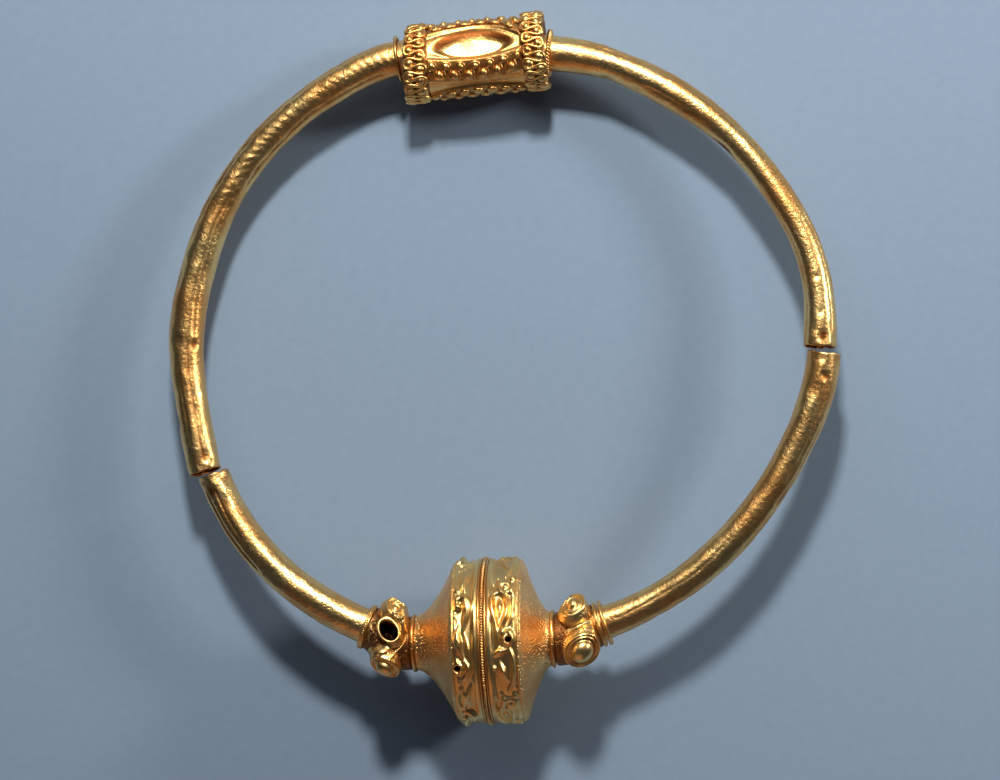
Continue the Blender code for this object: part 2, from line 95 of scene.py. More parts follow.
# Bends are (degrees round the hoop from the back, mm outside the oval); radii are (degrees, mm).
RIGHT_BACK_BENDS = ((-5.7, -1.0), (16, 0.7), (30, -0.4), (44, -1.1), (58, -1.25), (76, -0.05), (91.2, -1.0))
RIGHT_FRONT_BENDS = (
    (91.2, 0.5), (97, -0.4), (104, -1.8), (112, -3.2), (125, -4.05), (142, -3.1), (161.3, -1.2),
)
LEFT_FRONT_BENDS = ((204.7, 3.4), (216, 3.3), (227, 3.1), (238, 2.4), (246.4, 1.5))
LEFT_BACK_BENDS = (
    (246.4, 3.7), (252, 2.4), (260, 1.7), (270, 2.25), (284, 1.45),
    (302, 1.95), (324, 2.7), (336, 3.4), (340, 2.7), (354.3, -1.0),
)
RIGHT_BACK_RADII = ((-5.7, 5.4), (14, 5.4), (22, 4.9), (32, 5.1), (50, 4.4), (80, 4.6), (91.2, 5.3))
RIGHT_FRONT_RADII = ((91.2, 5.4), (102, 5.2), (115, 4.9), (135, 5.0), (150, 4.7), (161.3, 5.4))
LEFT_FRONT_RADII = ((204.7, 5.4), (216, 5.4), (230, 5.2), (246.4, 5.0))
LEFT_BACK_RADII = (
    (246.4, 5.3), (258, 5.1), (272, 5.5), (290, 5.3), (303, 5.0), (320, 5.1), (332, 5.4), (354.3, 5.4),
)


def step(low, high, x):
    """0 below low, 1 above high, and a soft step between them."""
    t = np.clip((np.asarray(x, dtype=float) - low) / (high - low), 0, 1)
    return t * t * (3 - 2 * t)


def through(knots, x):
    """A smooth curve through (place, value) knots, read at x."""
    at, value = np.array(knots, dtype=float).T
    last = len(at) - 1
    ahead = np.minimum(np.arange(last + 1) + 1, last)
    behind = np.maximum(np.arange(last + 1) - 1, 0)
    slope = (value[ahead] - value[behind]) / (at[ahead] - at[behind])
    k = np.clip(np.searchsorted(at, x, side="right") - 1, 0, last - 1)
    span = at[k + 1] - at[k]
    t = np.clip((x - at[k]) / span, 0, 1)
    return (
        value[k] * (1 + 2 * t) * (1 - t) ** 2
        + slope[k] * span * t * (1 - t) ** 2
        + value[k + 1] * t * t * (3 - 2 * t)
        + slope[k + 1] * span * t * t * (t - 1)
    )


def oval_radius(angle):
    """Distance from the hoop's middle to the true oval."""
    a = np.radians(angle)
    across = (np.abs(np.sin(a)) / HOOP_HALF_WIDTH) ** OVAL_POWER
    deep = (np.abs(np.cos(a)) / HOOP_HALF_DEPTH) ** OVAL_POWER
    return (across + deep) ** (-1 / OVAL_POWER)


def hoop_points(angle, bends):
    """Points on a tube's centre line, at angles from the back, clockwise."""
    a = np.radians(angle)
    out = oval_radius(angle) + through(bends, angle) * mm
    y = out * np.cos(a)
    share = (HOOP_HALF_DEPTH - y) / (2 * HOOP_HALF_DEPTH)
    height = BACK_AXIS_HEIGHT + (FRONT_AXIS_HEIGHT - BACK_AXIS_HEIGHT) * share
    return HOOP_MIDDLE + np.stack([out * np.sin(a), y, height + HOOP_WARP * np.sin(a) ** 3], axis=-1)


def wrapped(degrees):
    """An angle brought between -180 and 180."""
    return (degrees + 180) % 360 - 180


def unit(vectors):
    """Vectors scaled to length 1."""
    return vectors / np.linalg.norm(vectors, axis=-1, keepdims=True)


def hoop_direction(angle, bends):
    """The way a tube runs, clockwise, at one of its angles."""
    ahead = hoop_points(min(angle + 0.5, bends[-1][0]), bends)
    return unit(ahead - hoop_points(max(angle - 0.5, bends[0][0]), bends))


def degrees_for(length):
    """The angle that a length of the hoop takes up, about."""
    return math.degrees(2 * length / (HOOP_HALF_WIDTH + HOOP_HALF_DEPTH))


def lumps(points, size, seed):
    """Smooth random heights from -1 to 1 over points, with bumps of about the given size."""
    scaled = np.asarray(points) / size
    cell = np.floor(scaled).astype(np.int64)
    t = scaled - cell
    t = t * t * (3 - 2 * t)
    total = np.zeros(scaled.shape[:-1])
    for corner in range(8):
        offset = np.array([corner & 1, corner >> 1 & 1, corner >> 2 & 1])
        at = cell + offset
        mixed = seed * 974634777
        for side, prime in enumerate((374761393, 668265263, 2147483647)):
            mixed = mixed + at[..., side] * prime
        mixed = (mixed ^ (mixed >> 13)) * 1274126177 & 0xFFFFFFFF
        value = ((mixed ^ (mixed >> 16)) & 0xFFFF) / 32767.5 - 1
        total += value * np.prod(np.where(offset == 1, t, 1 - t), axis=-1)
    return total


def ring_frames(directions):
    """The sideways and topward directions square to a line, one pair for each of its points."""
    top = unit(UP - directions * (directions @ UP)[:, None])
    return np.cross(directions, top), top


def shell(name, points, marks=None, through_bore=False):
    """A closed skin over rings of points; its ends are closed in the middle, or joined by a bore."""
    rows, columns = points.shape[:2]
    index = np.arange(rows * columns).reshape(rows, columns)
    if through_bore:
        index = np.vstack([index, index[:1]])
    beside = np.roll(index, -1, axis=1)
    faces = np.stack([index[:-1], beside[:-1], beside[1:], index[1:]], axis=-1).reshape(-1, 4).tolist()
    vertices = points.reshape(-1, 3)
    if not through_bore:
        vertices = np.vstack([vertices, points[0].mean(axis=0), points[-1].mean(axis=0)])
        first, last = rows * columns, rows * columns + 1
        faces += [[first, b, a] for a, b in zip(index[0].tolist(), beside[0].tolist())]
        faces += [[last, a, b] for a, b in zip(index[-1].tolist(), beside[-1].tolist())]
    mesh = bpy.data.meshes.new(name)
    mesh.from_pydata(vertices.tolist(), [], faces)
    middle = vertices.mean(axis=0)
    square = vertices[np.array([face[:3] for face in faces])] - middle
    if np.einsum("ij,ij->", np.cross(square[:, 0], square[:, 1]), square[:, 2]) < 0:
        mesh.flip_normals()
    for mark, values in (marks or {}).items():
        spread = np.concatenate([values.ravel(), np.zeros(len(vertices) - values.size)])
        mesh.attributes.new(mark, "FLOAT", "POINT").data.foreach_set("value", spread.astype(np.float32))
    mesh.shade_smooth()
    piece = bpy.data.objects.new(name, mesh)
    bpy.context.scene.collection.objects.link(piece)
    return piece


class Shade:
    """A number in a material's node tree; sums on it add Math nodes."""

    def __init__(self, tree, socket):
        self.tree = tree
        self.socket = socket

    def sum_with(self, operation, first, second):
        node = self.tree.nodes.new("ShaderNodeMath")
        node.operation = operation
        for slot, term in zip(node.inputs, (first, second)):
            if isinstance(term, Shade):
                self.tree.links.new(term.socket, slot)
            else:
                slot.default_value = term
        return Shade(self.tree, node.outputs[0])

    def __add__(self, other):
        return self.sum_with("ADD", self, other)

    def __radd__(self, other):
        return self.sum_with("ADD", other, self)

    def __sub__(self, other):
        return self.sum_with("SUBTRACT", self, other)

    def __rsub__(self, other):
        return self.sum_with("SUBTRACT", other, self)

    def __mul__(self, other):
        return self.sum_with("MULTIPLY", self, other)

    def __rmul__(self, other):
        return self.sum_with("MULTIPLY", other, self)


class Nodes:
    """A node tree in the making."""

    def __init__(self, tree):
        self.tree = tree

    def node(self, kind, settings=None, sockets=None, output=0):
        """Adds a node: its settings first, then the values or links of its sockets."""
        node = self.tree.nodes.new(kind)
        for key, value in (settings or {}).items():
            setattr(node, key, value)
        self.feed(node, sockets or {})
        return Shade(self.tree, node.outputs[output])

    def feed(self, node, sockets):
        """Links or sets a node's sockets."""
        for key, value in sockets.items():
            if isinstance(value, Shade):
                self.tree.links.new(value.socket, node.inputs[key])
            else:
                node.inputs[key].default_value = value


class Finish(Nodes):
    """A material in the making."""

    def __init__(self, name):
        self.material = bpy.data.materials.new(name)
        self.material.use_nodes = True
        super().__init__(self.material.node_tree)
        self.shader = self.tree.nodes["Principled BSDF"]

    def noise(self, size, detail=2.0, rough=0.5):
        """Smooth random shade from 0 to 1 over the object, with blots of about the given size."""
        place = self.node("ShaderNodeTexCoord", output="Object")
        return self.node("ShaderNodeTexNoise", None, {
            "Vector": place, "Scale": 1 / size, "Detail": detail, "Roughness": rough,
        })

    def pits(self, size):
        """Small round dimples over the object: 0 in their middles, rising to their edges."""
        place = self.node("ShaderNodeTexCoord", output="Object")
        return self.node("ShaderNodeTexVoronoi", {"feature": "F1"}, {"Vector": place, "Scale": 1 / size})

    def mark(self, name):
        """A value that the mesh carries at its points."""
        return self.node("ShaderNodeAttribute", {"attribute_name": name}, output="Fac")

    def ramp(self, shade, low, high):
        """0 below low, 1 above high."""
        return self.node("ShaderNodeMapRange", {"interpolation_type": "SMOOTHSTEP"}, {
            "Value": shade, "From Min": low, "From Max": high,
        })

    def blend(self, share, first, second):
        """A colour between two; sockets 6 and 7 of the node are its colours."""
        paint = [(*c, 1) if isinstance(c, tuple) else c for c in (first, second)]
        sockets = {0: share, 6: paint[0], 7: paint[1]}
        return self.node("ShaderNodeMix", {"data_type": "RGBA"}, sockets, output=2)

    def relief(self, height):
        """A surface direction that follows a height in metres."""
        return self.node("ShaderNodeBump", None, {"Strength": 1.0, "Distance": 1.0, "Height": height})


# Red-brown for hollows: partly dirt, partly painted shade where less light gets in.
DIRT_AND_SHADE_RED = (0.24, 0.075, 0.018)


def gold(name, bright, deep, roughness, grain, grain_size):
    """Gold: brighter and deeper patches, red-brown dirt and painted shade in its hollows, and a fine worked
    grain.
    """
    finish = Finish(name)
    hollow = finish.mark("hollow")
    patches = finish.ramp(finish.noise(14 * mm, detail=4.0), 0.35, 0.68)
    speckle = finish.noise(grain_size, detail=3.0, rough=0.6)
    tone = finish.blend(patches, deep, bright)
    # Dirt and painted shade: the hollow mark darkens recesses towards red-brown.
    dirt_and_shade = finish.ramp(hollow + (speckle - 0.5) * 0.5, 0.25, 1.1)
    colour = finish.blend(dirt_and_shade, tone, DIRT_AND_SHADE_RED)
    rough = (speckle - 0.5) * 0.16 + patches * -0.05 + dirt_and_shade * 0.18 + roughness
    finish.feed(finish.shader, {
        "Base Color": colour, "Roughness": rough, "Normal": finish.relief(speckle * grain), "Metallic": 1.0,
    })
    return finish.material


def dress(piece, material, slot, *nodes):
    """Gives a finished piece its material, its place on the torc and the solids that it stands for."""
    piece.data.materials.clear()
    piece.data.materials.append(material)
    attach(piece, "root")
    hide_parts(*nodes)


def dint(place, around, middle, length, width, depth):
    """Depth of one dint: its middle is (place along, degrees round), and it is a soft oval dish."""
    along = (place - middle[0]) / length
    beside = np.radians(wrapped(around - middle[1])) * TUBE_RADIUS / width
    return depth * (1 - step(0, 1, np.sqrt(along * along + beside * beside)))


def crease(place, around, start, end, width, depth):
    """Depth of a sharp fold that runs between two (place along, degrees round) points."""
    share = np.clip((place - start[0]) / (end[0] - start[0]), 0, 1)
    wander = 3.0 * np.sin(place / (9 * mm)) + 2.0 * np.sin(place / (3.7 * mm))
    line = start[1] + (end[1] - start[1]) * share + wander
    beside = np.radians(wrapped(around - line)) * TUBE_RADIUS
    ends = step(start[0], start[0] + 5 * mm, place) * step(end[0], end[0] - 5 * mm, place)
    return depth * ends * np.exp(-np.abs(beside) / width)


def hammer_dints(place, around, first, last, count, size, depth, seed):
    """Overlapping shallow dints from many hammer blows between two places along a tube."""
    dice = np.random.default_rng(seed)
    deepest = np.zeros_like(place)
    for _ in range(count):
        middle = (dice.uniform(first, last), dice.uniform(-180, 180))
        width = size * dice.uniform(0.7, 1.5)
        along = (place - middle[0]) / (width * dice.uniform(0.8, 1.6))
        beside = np.radians(wrapped(around - middle[1])) * TUBE_RADIUS / width
        bowl = depth * dice.uniform(0.4, 1.0) * np.maximum(1 - along * along - beside * beside, 0)
        deepest = np.maximum(deepest, bowl)
    return deepest


def hammer_wrinkles(place, angle, window, middle, spread, pitch, depth, skin, seed):
    """Depth of a run of slanting wrinkles on one side of a tube, where the window lets them through."""
    slant = place + np.radians(angle) * TUBE_RADIUS * 0.5 + lumps(skin, 9 * mm, seed) * 4.5 * mm
    ripple = 0.5 + 0.5 * np.sin(2 * math.pi * slant / pitch)
    side = np.exp(-(((angle - middle) / spread) ** 2))
    return depth * window * side * ripple ** 1.5


def tube(
    name, bends, radii, trims, torn, dints, creases, blows, blow_depth, seed, wrinkles=None, foot=0,
):
    """One length of tube.  Angles round it run from its top, outwards over the hoop.

    Trims and torn are for its two ends, and foot is 1 or -1 where its last or first end goes on into
    a collar.  A dint is (middle, half length, half width, depth), a crease is (start, end, half width,
    depth), and their points are (degrees round the hoop, degrees round the tube).  Wrinkles are ((first,
    last) degrees round the hoop, middle and spread in degrees round the tube, pitch, depth).
    """
    start = bends[0][0] + degrees_for(trims[0])
    end = bends[-1][0] - degrees_for(trims[1])
    fine_angles = np.linspace(start, end, 1500)
    fine = hoop_points(fine_angles, bends)
    fine_radii = through(radii, fine_angles) * mm
    depth = SOCKET_DEPTH - CLEARANCE
    straight_on = np.array([[0.5 * depth], [depth]])
    if foot > 0:
        fine = np.vstack([fine, fine[-1] + hoop_direction(bends[-1][0], bends) * straight_on])
        fine_radii = np.append(fine_radii, (TUBE_RADIUS, TUBE_RADIUS))
    if foot < 0:
        fine = np.vstack([fine[0] - hoop_direction(bends[0][0], bends) * straight_on[::-1], fine])
        fine_radii = np.append((TUBE_RADIUS, TUBE_RADIUS), fine_radii)
    run = np.concatenate([[0.0], np.cumsum(np.linalg.norm(np.diff(fine, axis=0), axis=1))])
    rows = int(run[-1] / TUBE_ROW)
    along = np.linspace(0, run[-1], rows)
    line = np.stack([np.interp(along, run, fine[:, k]) for k in range(3)], axis=-1)
    thick = np.interp(along, run, fine_radii)
    directions = unit(np.gradient(line, axis=0))
    inward, top = ring_frames(directions)
    around = np.linspace(-180, 180, TUBE_COLUMNS, endpoint=False)
    place, angle = np.meshgrid(along, around, indexing="ij")

    def rings(radius, line, inward, top):
        turn = np.radians(around)
        spokes = np.cos(turn)[None, :, None] * top[:, None] - np.sin(turn)[None, :, None] * inward[:, None]
        return line[:, None] + spokes * radius[..., None]

    smooth_skin = rings(np.full(place.shape, TUBE_RADIUS), line, inward, top)
    hollow = hammer_dints(place, angle, 0, run[-1], blows, HAMMER_FACE, blow_depth, seed)
    for middle, length, width, deep in dints:
        at = run[-1] * (middle[0] - start) / (end - start)
        hollow += dint(place, angle, (at, middle[1]), length, width, deep)
    for first, last, width, deep in creases:
        ends = [(run[-1] * (a - start) / (end - start), b) for a, b in (first, last)]
        hollow += crease(place, angle, *ends, width, deep)
    if wrinkles:
        ends = [run[-1] * (a - start) / (end - start) for a in wrinkles[0]]
        window = step(ends[0], ends[0] + 8 * mm, place) * step(ends[1], ends[1] - 4 * mm, place)
        hollow += hammer_wrinkles(place, angle, window, *wrinkles[1:], smooth_skin, seed)
    for is_torn, from_end in zip(torn, (place, run[-1] - place)):
        if is_torn:
            crushed = step(TORN_LENGTH, 1 * mm, from_end)
            hollow += crushed * (0.16 * mm + 0.30 * mm * lumps(smooth_skin, 2.2 * mm, seed + 7))
    swell = 0.14 * mm * lumps(smooth_skin, 11 * mm, seed + 3)
    swell += 0.05 * mm * lumps(smooth_skin, 3.5 * mm, seed + 5)
    radius = thick[:, None] - SKIN_INSET + np.minimum(swell, SKIN_ROOM) - np.maximum(hollow, -SKIN_ROOM)

    skin = rings(radius, line, inward, top)
    # The depth of dints, creases and torn edges is kept as a mark that paints dirt and painted shade into
    # them.
    marks = np.clip(hollow / (0.5 * mm), 0, 1)
    layers = [skin]
    dirt_and_shade = [marks]
    for side, is_torn in enumerate(torn):
        if not is_torn:
            continue
        row = 0 if side == 0 else -1
        outward = -directions[row] if side == 0 else directions[row]
        from_end = along if side == 0 else along[-1] - along
        ragged = 0.38 * mm * lumps(skin[row], 1.6 * mm, seed + 11)
        ragged += 0.20 * mm * lumps(skin[row], 0.7 * mm, seed + 12)
        reach = (ragged - 0.22 * mm)[None, :] * step(2.5 * mm, 0, from_end)[:, None]
        skin += outward * reach[..., None]
        middle = line[row]
        lip = skin[row]
        inner = [middle + (lip - middle) * (1 - SHEET * share / TUBE_RADIUS) for share in (0.5, 1.0)]
        inner += [inner[-1] - outward * back for back in (0.6 * mm, 3.0 * mm)]
        # Painted shade: the sheet inside a torn end darkens step by step further in.
        painted_shade = [np.full(TUBE_COLUMNS, share) for share in (0.3, 0.7, 1.0, 1.2)]
        if side == 0:
            layers.insert(0, np.array(inner[::-1]))
            dirt_and_shade.insert(0, np.array(painted_shade[::-1]))
        else:
            layers.append(np.array(inner))
            dirt_and_shade.append(np.array(painted_shade))
    return shell(name, np.vstack(layers), {"hollow": np.vstack(dirt_and_shade)})


tube_gold = gold(
    "tube_gold", bright=(1.0, 0.68, 0.27), deep=(0.86, 0.44, 0.14), roughness=0.34,
    grain=0.17 * mm, grain_size=1.0 * mm,
)

left_back = tube(
    "left_back_skin", LEFT_BACK_BENDS, LEFT_BACK_RADII,
    trims=(BREAK_GAP / 2, BREAK_GAP / 2), torn=(True, False),
    dints=(
        ((270.4, -40), 2.6 * mm, 2.2 * mm, 0.55 * mm),
        ((271.0, 20), 3.0 * mm, 3.0 * mm, 0.25 * mm),
        ((256.8, 78), 3.5 * mm, 2.4 * mm, 0.45 * mm),
        ((262.0, 5), 5.0 * mm, 2.5 * mm, 0.20 * mm),
        ((282.0, 60), 7.0 * mm, 3.0 * mm, 0.25 * mm),
        ((296.0, 25), 6.0 * mm, 2.8 * mm, 0.22 * mm),
        ((249.5, -20), 3.0 * mm, 3.0 * mm, 0.35 * mm),
    ),
    creases=(
        ((247.5, -22), (272, -12), 0.5 * mm, 0.38 * mm),
        ((251, 14), (268, 22), 0.5 * mm, 0.25 * mm),
        ((270, -30), (301, -18), 0.6 * mm, 0.30 * mm),
        ((288, 48), (338, 62), 0.6 * mm, 0.35 * mm),
        ((300, -58), (339, -50), 0.8 * mm, 0.30 * mm),
    ),
    wrinkles=((294, 341), -5, 52, 2.9 * mm, 0.10 * mm),
    blows=190, blow_depth=0.18 * mm, seed=21,
)
right_back = tube(
    "right_back_skin", RIGHT_BACK_BENDS, RIGHT_BACK_RADII,
    trims=(BREAK_GAP / 2, BREAK_GAP / 2), torn=(False, True),
    dints=(
        ((47.0, -80), 7.0 * mm, 4.0 * mm, 0.55 * mm),
        ((20.0, -70), 6.0 * mm, 3.5 * mm, 0.35 * mm),
        ((26.5, -62), 4.5 * mm, 3.0 * mm, 0.25 * mm),
        ((84.5, 2), 2.2 * mm, 1.6 * mm, 0.22 * mm),
        ((78.0, 0), 1.2 * mm, 3.2 * mm, 0.20 * mm),
        ((89.0, 12), 3.0 * mm, 2.6 * mm, 0.40 * mm),
    ),
    creases=(
        ((9, 46), (60, 50), 0.5 * mm, 0.30 * mm),
        ((62, 48), (90, 40), 0.5 * mm, 0.20 * mm),
        ((27, -34), (40, -30), 0.9 * mm, 0.30 * mm),
        ((60, -64), (90, -58), 0.7 * mm, 0.25 * mm),
    ),
    blows=90, blow_depth=0.09 * mm, seed=34,
)
right_front = tube(
    "right_front_skin", RIGHT_FRONT_BENDS, RIGHT_FRONT_RADII,
    trims=(BREAK_GAP / 2, 0), torn=(True, False), foot=1,
    dints=(
        ((96.0, 10), 1.8 * mm, 2.0 * mm, 0.45 * mm),
        ((99.0, -14), 5.0 * mm, 3.0 * mm, 0.30 * mm),
        ((118.0, 76), 7.0 * mm, 3.0 * mm, 0.30 * mm),
        ((133.0, 40), 6.0 * mm, 3.0 * mm, 0.20 * mm),
    ),
    creases=(
        ((94, 18), (118, 40), 0.7 * mm, 0.42 * mm),
        ((103, 56), (132, 66), 0.6 * mm, 0.35 * mm),
        ((128, -10), (158, -4), 0.7 * mm, 0.20 * mm),
    ),
    blows=130, blow_depth=0.12 * mm, seed=47,
)
left_front = tube(
    "left_front_skin", LEFT_FRONT_BENDS, LEFT_FRONT_RADII,
    trims=(0, BREAK_GAP / 2), torn=(False, True), foot=-1,
    dints=(
        ((243.0, 24), 3.0 * mm, 2.4 * mm, 0.45 * mm),
        ((240.0, -8), 4.0 * mm, 2.4 * mm, 0.30 * mm),
        ((226.0, 20), 6.0 * mm, 3.2 * mm, 0.20 * mm),
    ),
    creases=(
        ((226, 52), (245.5, 46), 0.6 * mm, 0.50 * mm),
        ((232, 14), (245, 4), 0.6 * mm, 0.35 * mm),
        ((207, 40), (224, 52), 0.6 * mm, 0.25 * mm),
    ),
    blows=120, blow_depth=0.12 * mm, seed=58,
)
for piece, node in (
    (left_back, "left_back_tube"), (right_back, "right_back_tube"),
    (right_front, "right_front_tube"), (left_front, "left_front_tube"),
):
    dress(piece, tube_gold, "tube_gold", node)

# Buffers
# Two hollow drums of sheet gold meet face to face.  Their cones are punched matt all over, and their
# rims carry burnished relief, chased up from behind: bosses, curling ridges and drop-shaped loops.

BUFFER_SWING = 2.3
BUFFER_RADIUS = 24.9 * mm
LEFT_LENGTH = 21.3 * mm
RIGHT_LENGTH = 18.3 * mm
LEFT_RIM_WIDTH = 8.3 * mm
RIGHT_RIM_WIDTH = 9.9 * mm
BEVEL_RUN = 1.2 * mm
BEVEL_DROP = 2.2 * mm
CONE_FLARE = 1.7
NECK_RADIUS = 8.0 * mm
WIRE_RADIUS = 0.55 * mm
SEAM_WIRE_RADIUS = 0.9 * mm
REST_CUT = 0.2 * mm
RELIEF_DEPTH = 1.7 * mm
RIM_REPEATS = 4
RIM_CELL = 2 * math.pi * BUFFER_RADIUS / RIM_REPEATS
SPIGOT_RADIUS = NECK_RADIUS - WIRE_RADIUS - CLEARANCE
SPIGOT_DEPTH = 1.2 * mm
BUFFER_COLUMNS = 600
RIM_ROW = 0.13 * mm
CONE_ROWS = 42
buffer_turn = math.radians(BUFFER_SWING)
buffer_axis = np.array((math.cos(buffer_turn), math.sin(buffer_turn), 0.0))


def curve_through(points, parts=14):
    """Closely spaced points on a smooth line through a few."""
    points = np.array(points, dtype=float)
    knots = np.arange(len(points))
    at = np.linspace(0, len(points) - 1, parts * (len(points) - 1) + 1)
    return np.stack([through(list(zip(knots, points[:, k])), at) for k in (0, 1)], axis=-1)


def ridge(u, v, points, width, height):
    """Height of a rounded ridge along a line of (u, v) points in mm; width has its half widths at
    the start, the middle and the end."""
    line = curve_through(points) * mm
    share = np.linspace(0, 1, len(line))
    half = np.interp(share, (0, 0.5, 1), width) * mm
    reach = half.max()
    near = (
        (u > line[:, 0].min() - reach) & (u < line[:, 0].max() + reach)
        & (v > line[:, 1].min() - reach) & (v < line[:, 1].max() + reach)
    )
    raised = np.zeros(u.shape)
    if near.any():
        un, vn = u[near], v[near]
        best = np.zeros(un.shape)
        for (pu, pv), w in zip(line, half):
            inside = 1 - ((un - pu) ** 2 + (vn - pv) ** 2) / (w * w)
            best = np.maximum(best, np.sqrt(np.maximum(inside, 0)) * w / reach)
        raised[near] = best * height * mm
    return raised


def knob(u, v, middle, radius, height):
    """Height of a round boss, in mm."""
    squared = ((u - middle[0] * mm) ** 2 + (v - middle[1] * mm) ** 2) / (radius * mm) ** 2
    return height * mm * np.sqrt(np.maximum(1 - squared, 0))


def hoop_ridge(u, v, middle, radius, width, height):
    """Height of a round ring, in mm."""
    off = (np.hypot(u - middle[0] * mm, v - middle[1] * mm) - radius * mm) / (width * mm)
    return height * mm * np.sqrt(np.maximum(1 - off * off, 0))


def hole(u, v, middle, radius, depth):
    """Depth of a pierced hole, in mm."""
    off = np.hypot(u - middle[0] * mm, v - middle[1] * mm) / (radius * mm)
    return depth * mm * (1 - step(0.75, 1.1, off))


def drawn(u, v, ridges, knobs):
    """Height of ridges (points, half widths, height) and knobs (middle, radius, height), all in mm."""
    raised = np.zeros(u.shape)
    for points, width, height in ridges:
        raised = np.maximum(raised, ridge(u, v, points, width, height))
    for middle, radius, height in knobs:
        raised = np.maximum(raised, knob(u, v, middle, radius, height))
    return raised


def left_motif(u, v):
    """A ball under a thick hook, a leaf, and a pierced boss among small balls.

    A point is (mm from the seam, mm along the rim).
    """
    raised = drawn(u, v, (
        (((7.3, -15.4), (6.0, -16.3), (4.7, -15.5), (3.9, -13.6), (4.1, -10.8), (4.9, -8.0), (5.6, -5.2)),
         (0.9, 1.45, 0.3), 1.6),
        (((6.3, -7.4), (7.1, -3.8), (6.8, -0.4), (5.3, 3.0)), (0.3, 1.4, 0.35), 1.6),
        (((4.8, -4.6), (4.0, 0.0), (3.7, 3.6)), (0.3, 0.55, 0.3), 0.8),
        (((5.2, 3.6), (4.2, 5.6), (4.9, 8.4), (6.9, 10.4)), (0.45, 0.65, 0.35), 1.1),
        (((3.8, 11.3), (4.5, 14.0), (5.2, 16.9), (4.8, 20.6)), (0.3, 0.8, 0.3), 1.1),
        (((6.6, 12.6), (8.0, 15.2), (8.0, 18.6), (6.6, 20.8), (6.0, 17.6), (6.2, 14.6)),
         (0.35, 0.5, 0.35), 1.0),
        (((2.6, 4.0), (2.9, 9.0), (2.6, 14.0)), (0.2, 0.5, 0.2), 0.5),
    ), (
        ((6.7, -13.0), 1.2, 1.6), ((7.6, -10.2), 0.6, 0.9), ((7.4, 3.5), 0.6, 1.0), ((5.5, 3.9), 0.65, 1.0),
        ((7.9, 8.2), 0.6, 1.0), ((7.0, 10.5), 0.55, 1.0),
    ))
    pierced_at = (7.3, 5.8)
    ring = hoop_ridge(u, v, pierced_at, 1.45, 0.6, 1.2)
    return np.maximum(raised, ring), hole(u, v, pierced_at, 0.95, 2.2)


def right_motif(u, v):
    """A drop-shaped loop round a leaf, a pierced curl, a lens, a long band and a round rosette."""
    raised = drawn(u, v, (
        (((5.2, -17.8), (3.4, -17.0), (2.9, -14.3), (3.4, -10.7), (4.1, -7.4), (4.3, -4.6), (4.5, -1.0)),
         (0.5, 0.72, 0.4), 1.6),
        (((5.2, -17.8), (6.9, -16.4), (7.5, -13.1), (7.0, -9.9), (5.8, -7.2), (5.0, -4.6), (4.5, -1.0)),
         (0.5, 0.72, 0.4), 1.6),
        (((5.2, -15.2), (5.3, -12.8), (4.9, -9.6)), (0.3, 0.85, 0.3), 0.8),
        (((3.4, 2.2), (5.4, 1.0), (7.6, 0.7)), (0.4, 1.0, 0.3), 1.4),
        (((5.0, 4.2), (5.9, 7.2), (7.4, 10.6)), (0.3, 0.95, 0.3), 1.3),
        (((8.2, 0.8), (8.9, 3.6), (9.1, 7.1), (8.2, 11.4), (6.8, 14.6)), (0.5, 0.7, 0.4), 1.2),
        (((3.0, 6.6), (2.5, 9.6), (2.8, 13.9), (3.5, 18.0)), (0.25, 0.5, 0.3), 0.8),
        (((8.9, -16.2), (9.1, -12.0), (8.4, -8.6), (6.9, -6.4)), (0.3, 0.6, 0.3), 0.7),
        (((6.0, -4.6), (7.4, -5.2), (9.0, -4.2), (9.3, -2.2)), (0.4, 0.65, 0.4), 1.2),
    ), (
        ((3.4, 6.2), 0.7, 1.0), ((5.4, 17.4), 0.95, 1.3), ((4.7, 15.2), 0.5, 0.9), ((8.9, 15.8), 1.1, 1.4),
        ((8.7, 21.2), 0.7, 1.1), ((4.6, 20.2), 0.6, 1.0), ((6.3, -1.2), 0.7, 1.0), ((9.0, 12.6), 0.45, 0.8),
    ))
    rosette_at, pierced_at = (7.0, 19.4), (7.7, -2.5)
    rosette = hoop_ridge(u, v, rosette_at, 1.9, 0.55, 1.2) + knob(u, v, rosette_at, 1.1, 1.4)
    ring = hoop_ridge(u, v, pierced_at, 1.35, 0.6, 1.3)
    return np.maximum(np.maximum(raised, rosette), ring), hole(u, v, pierced_at, 0.85, 2.2)


def softened(field, passes):
    """A height field smoothed a little over its neighbours; its second side runs round a rim and closes."""
    for _ in range(passes):
        padded = np.vstack([field[:1], field, field[-1:]])
        field = (padded[:-2] + 2 * field + padded[2:]) / 4
        field = (np.roll(field, 1, axis=1) + 2 * field + np.roll(field, -1, axis=1)) / 4
    return field


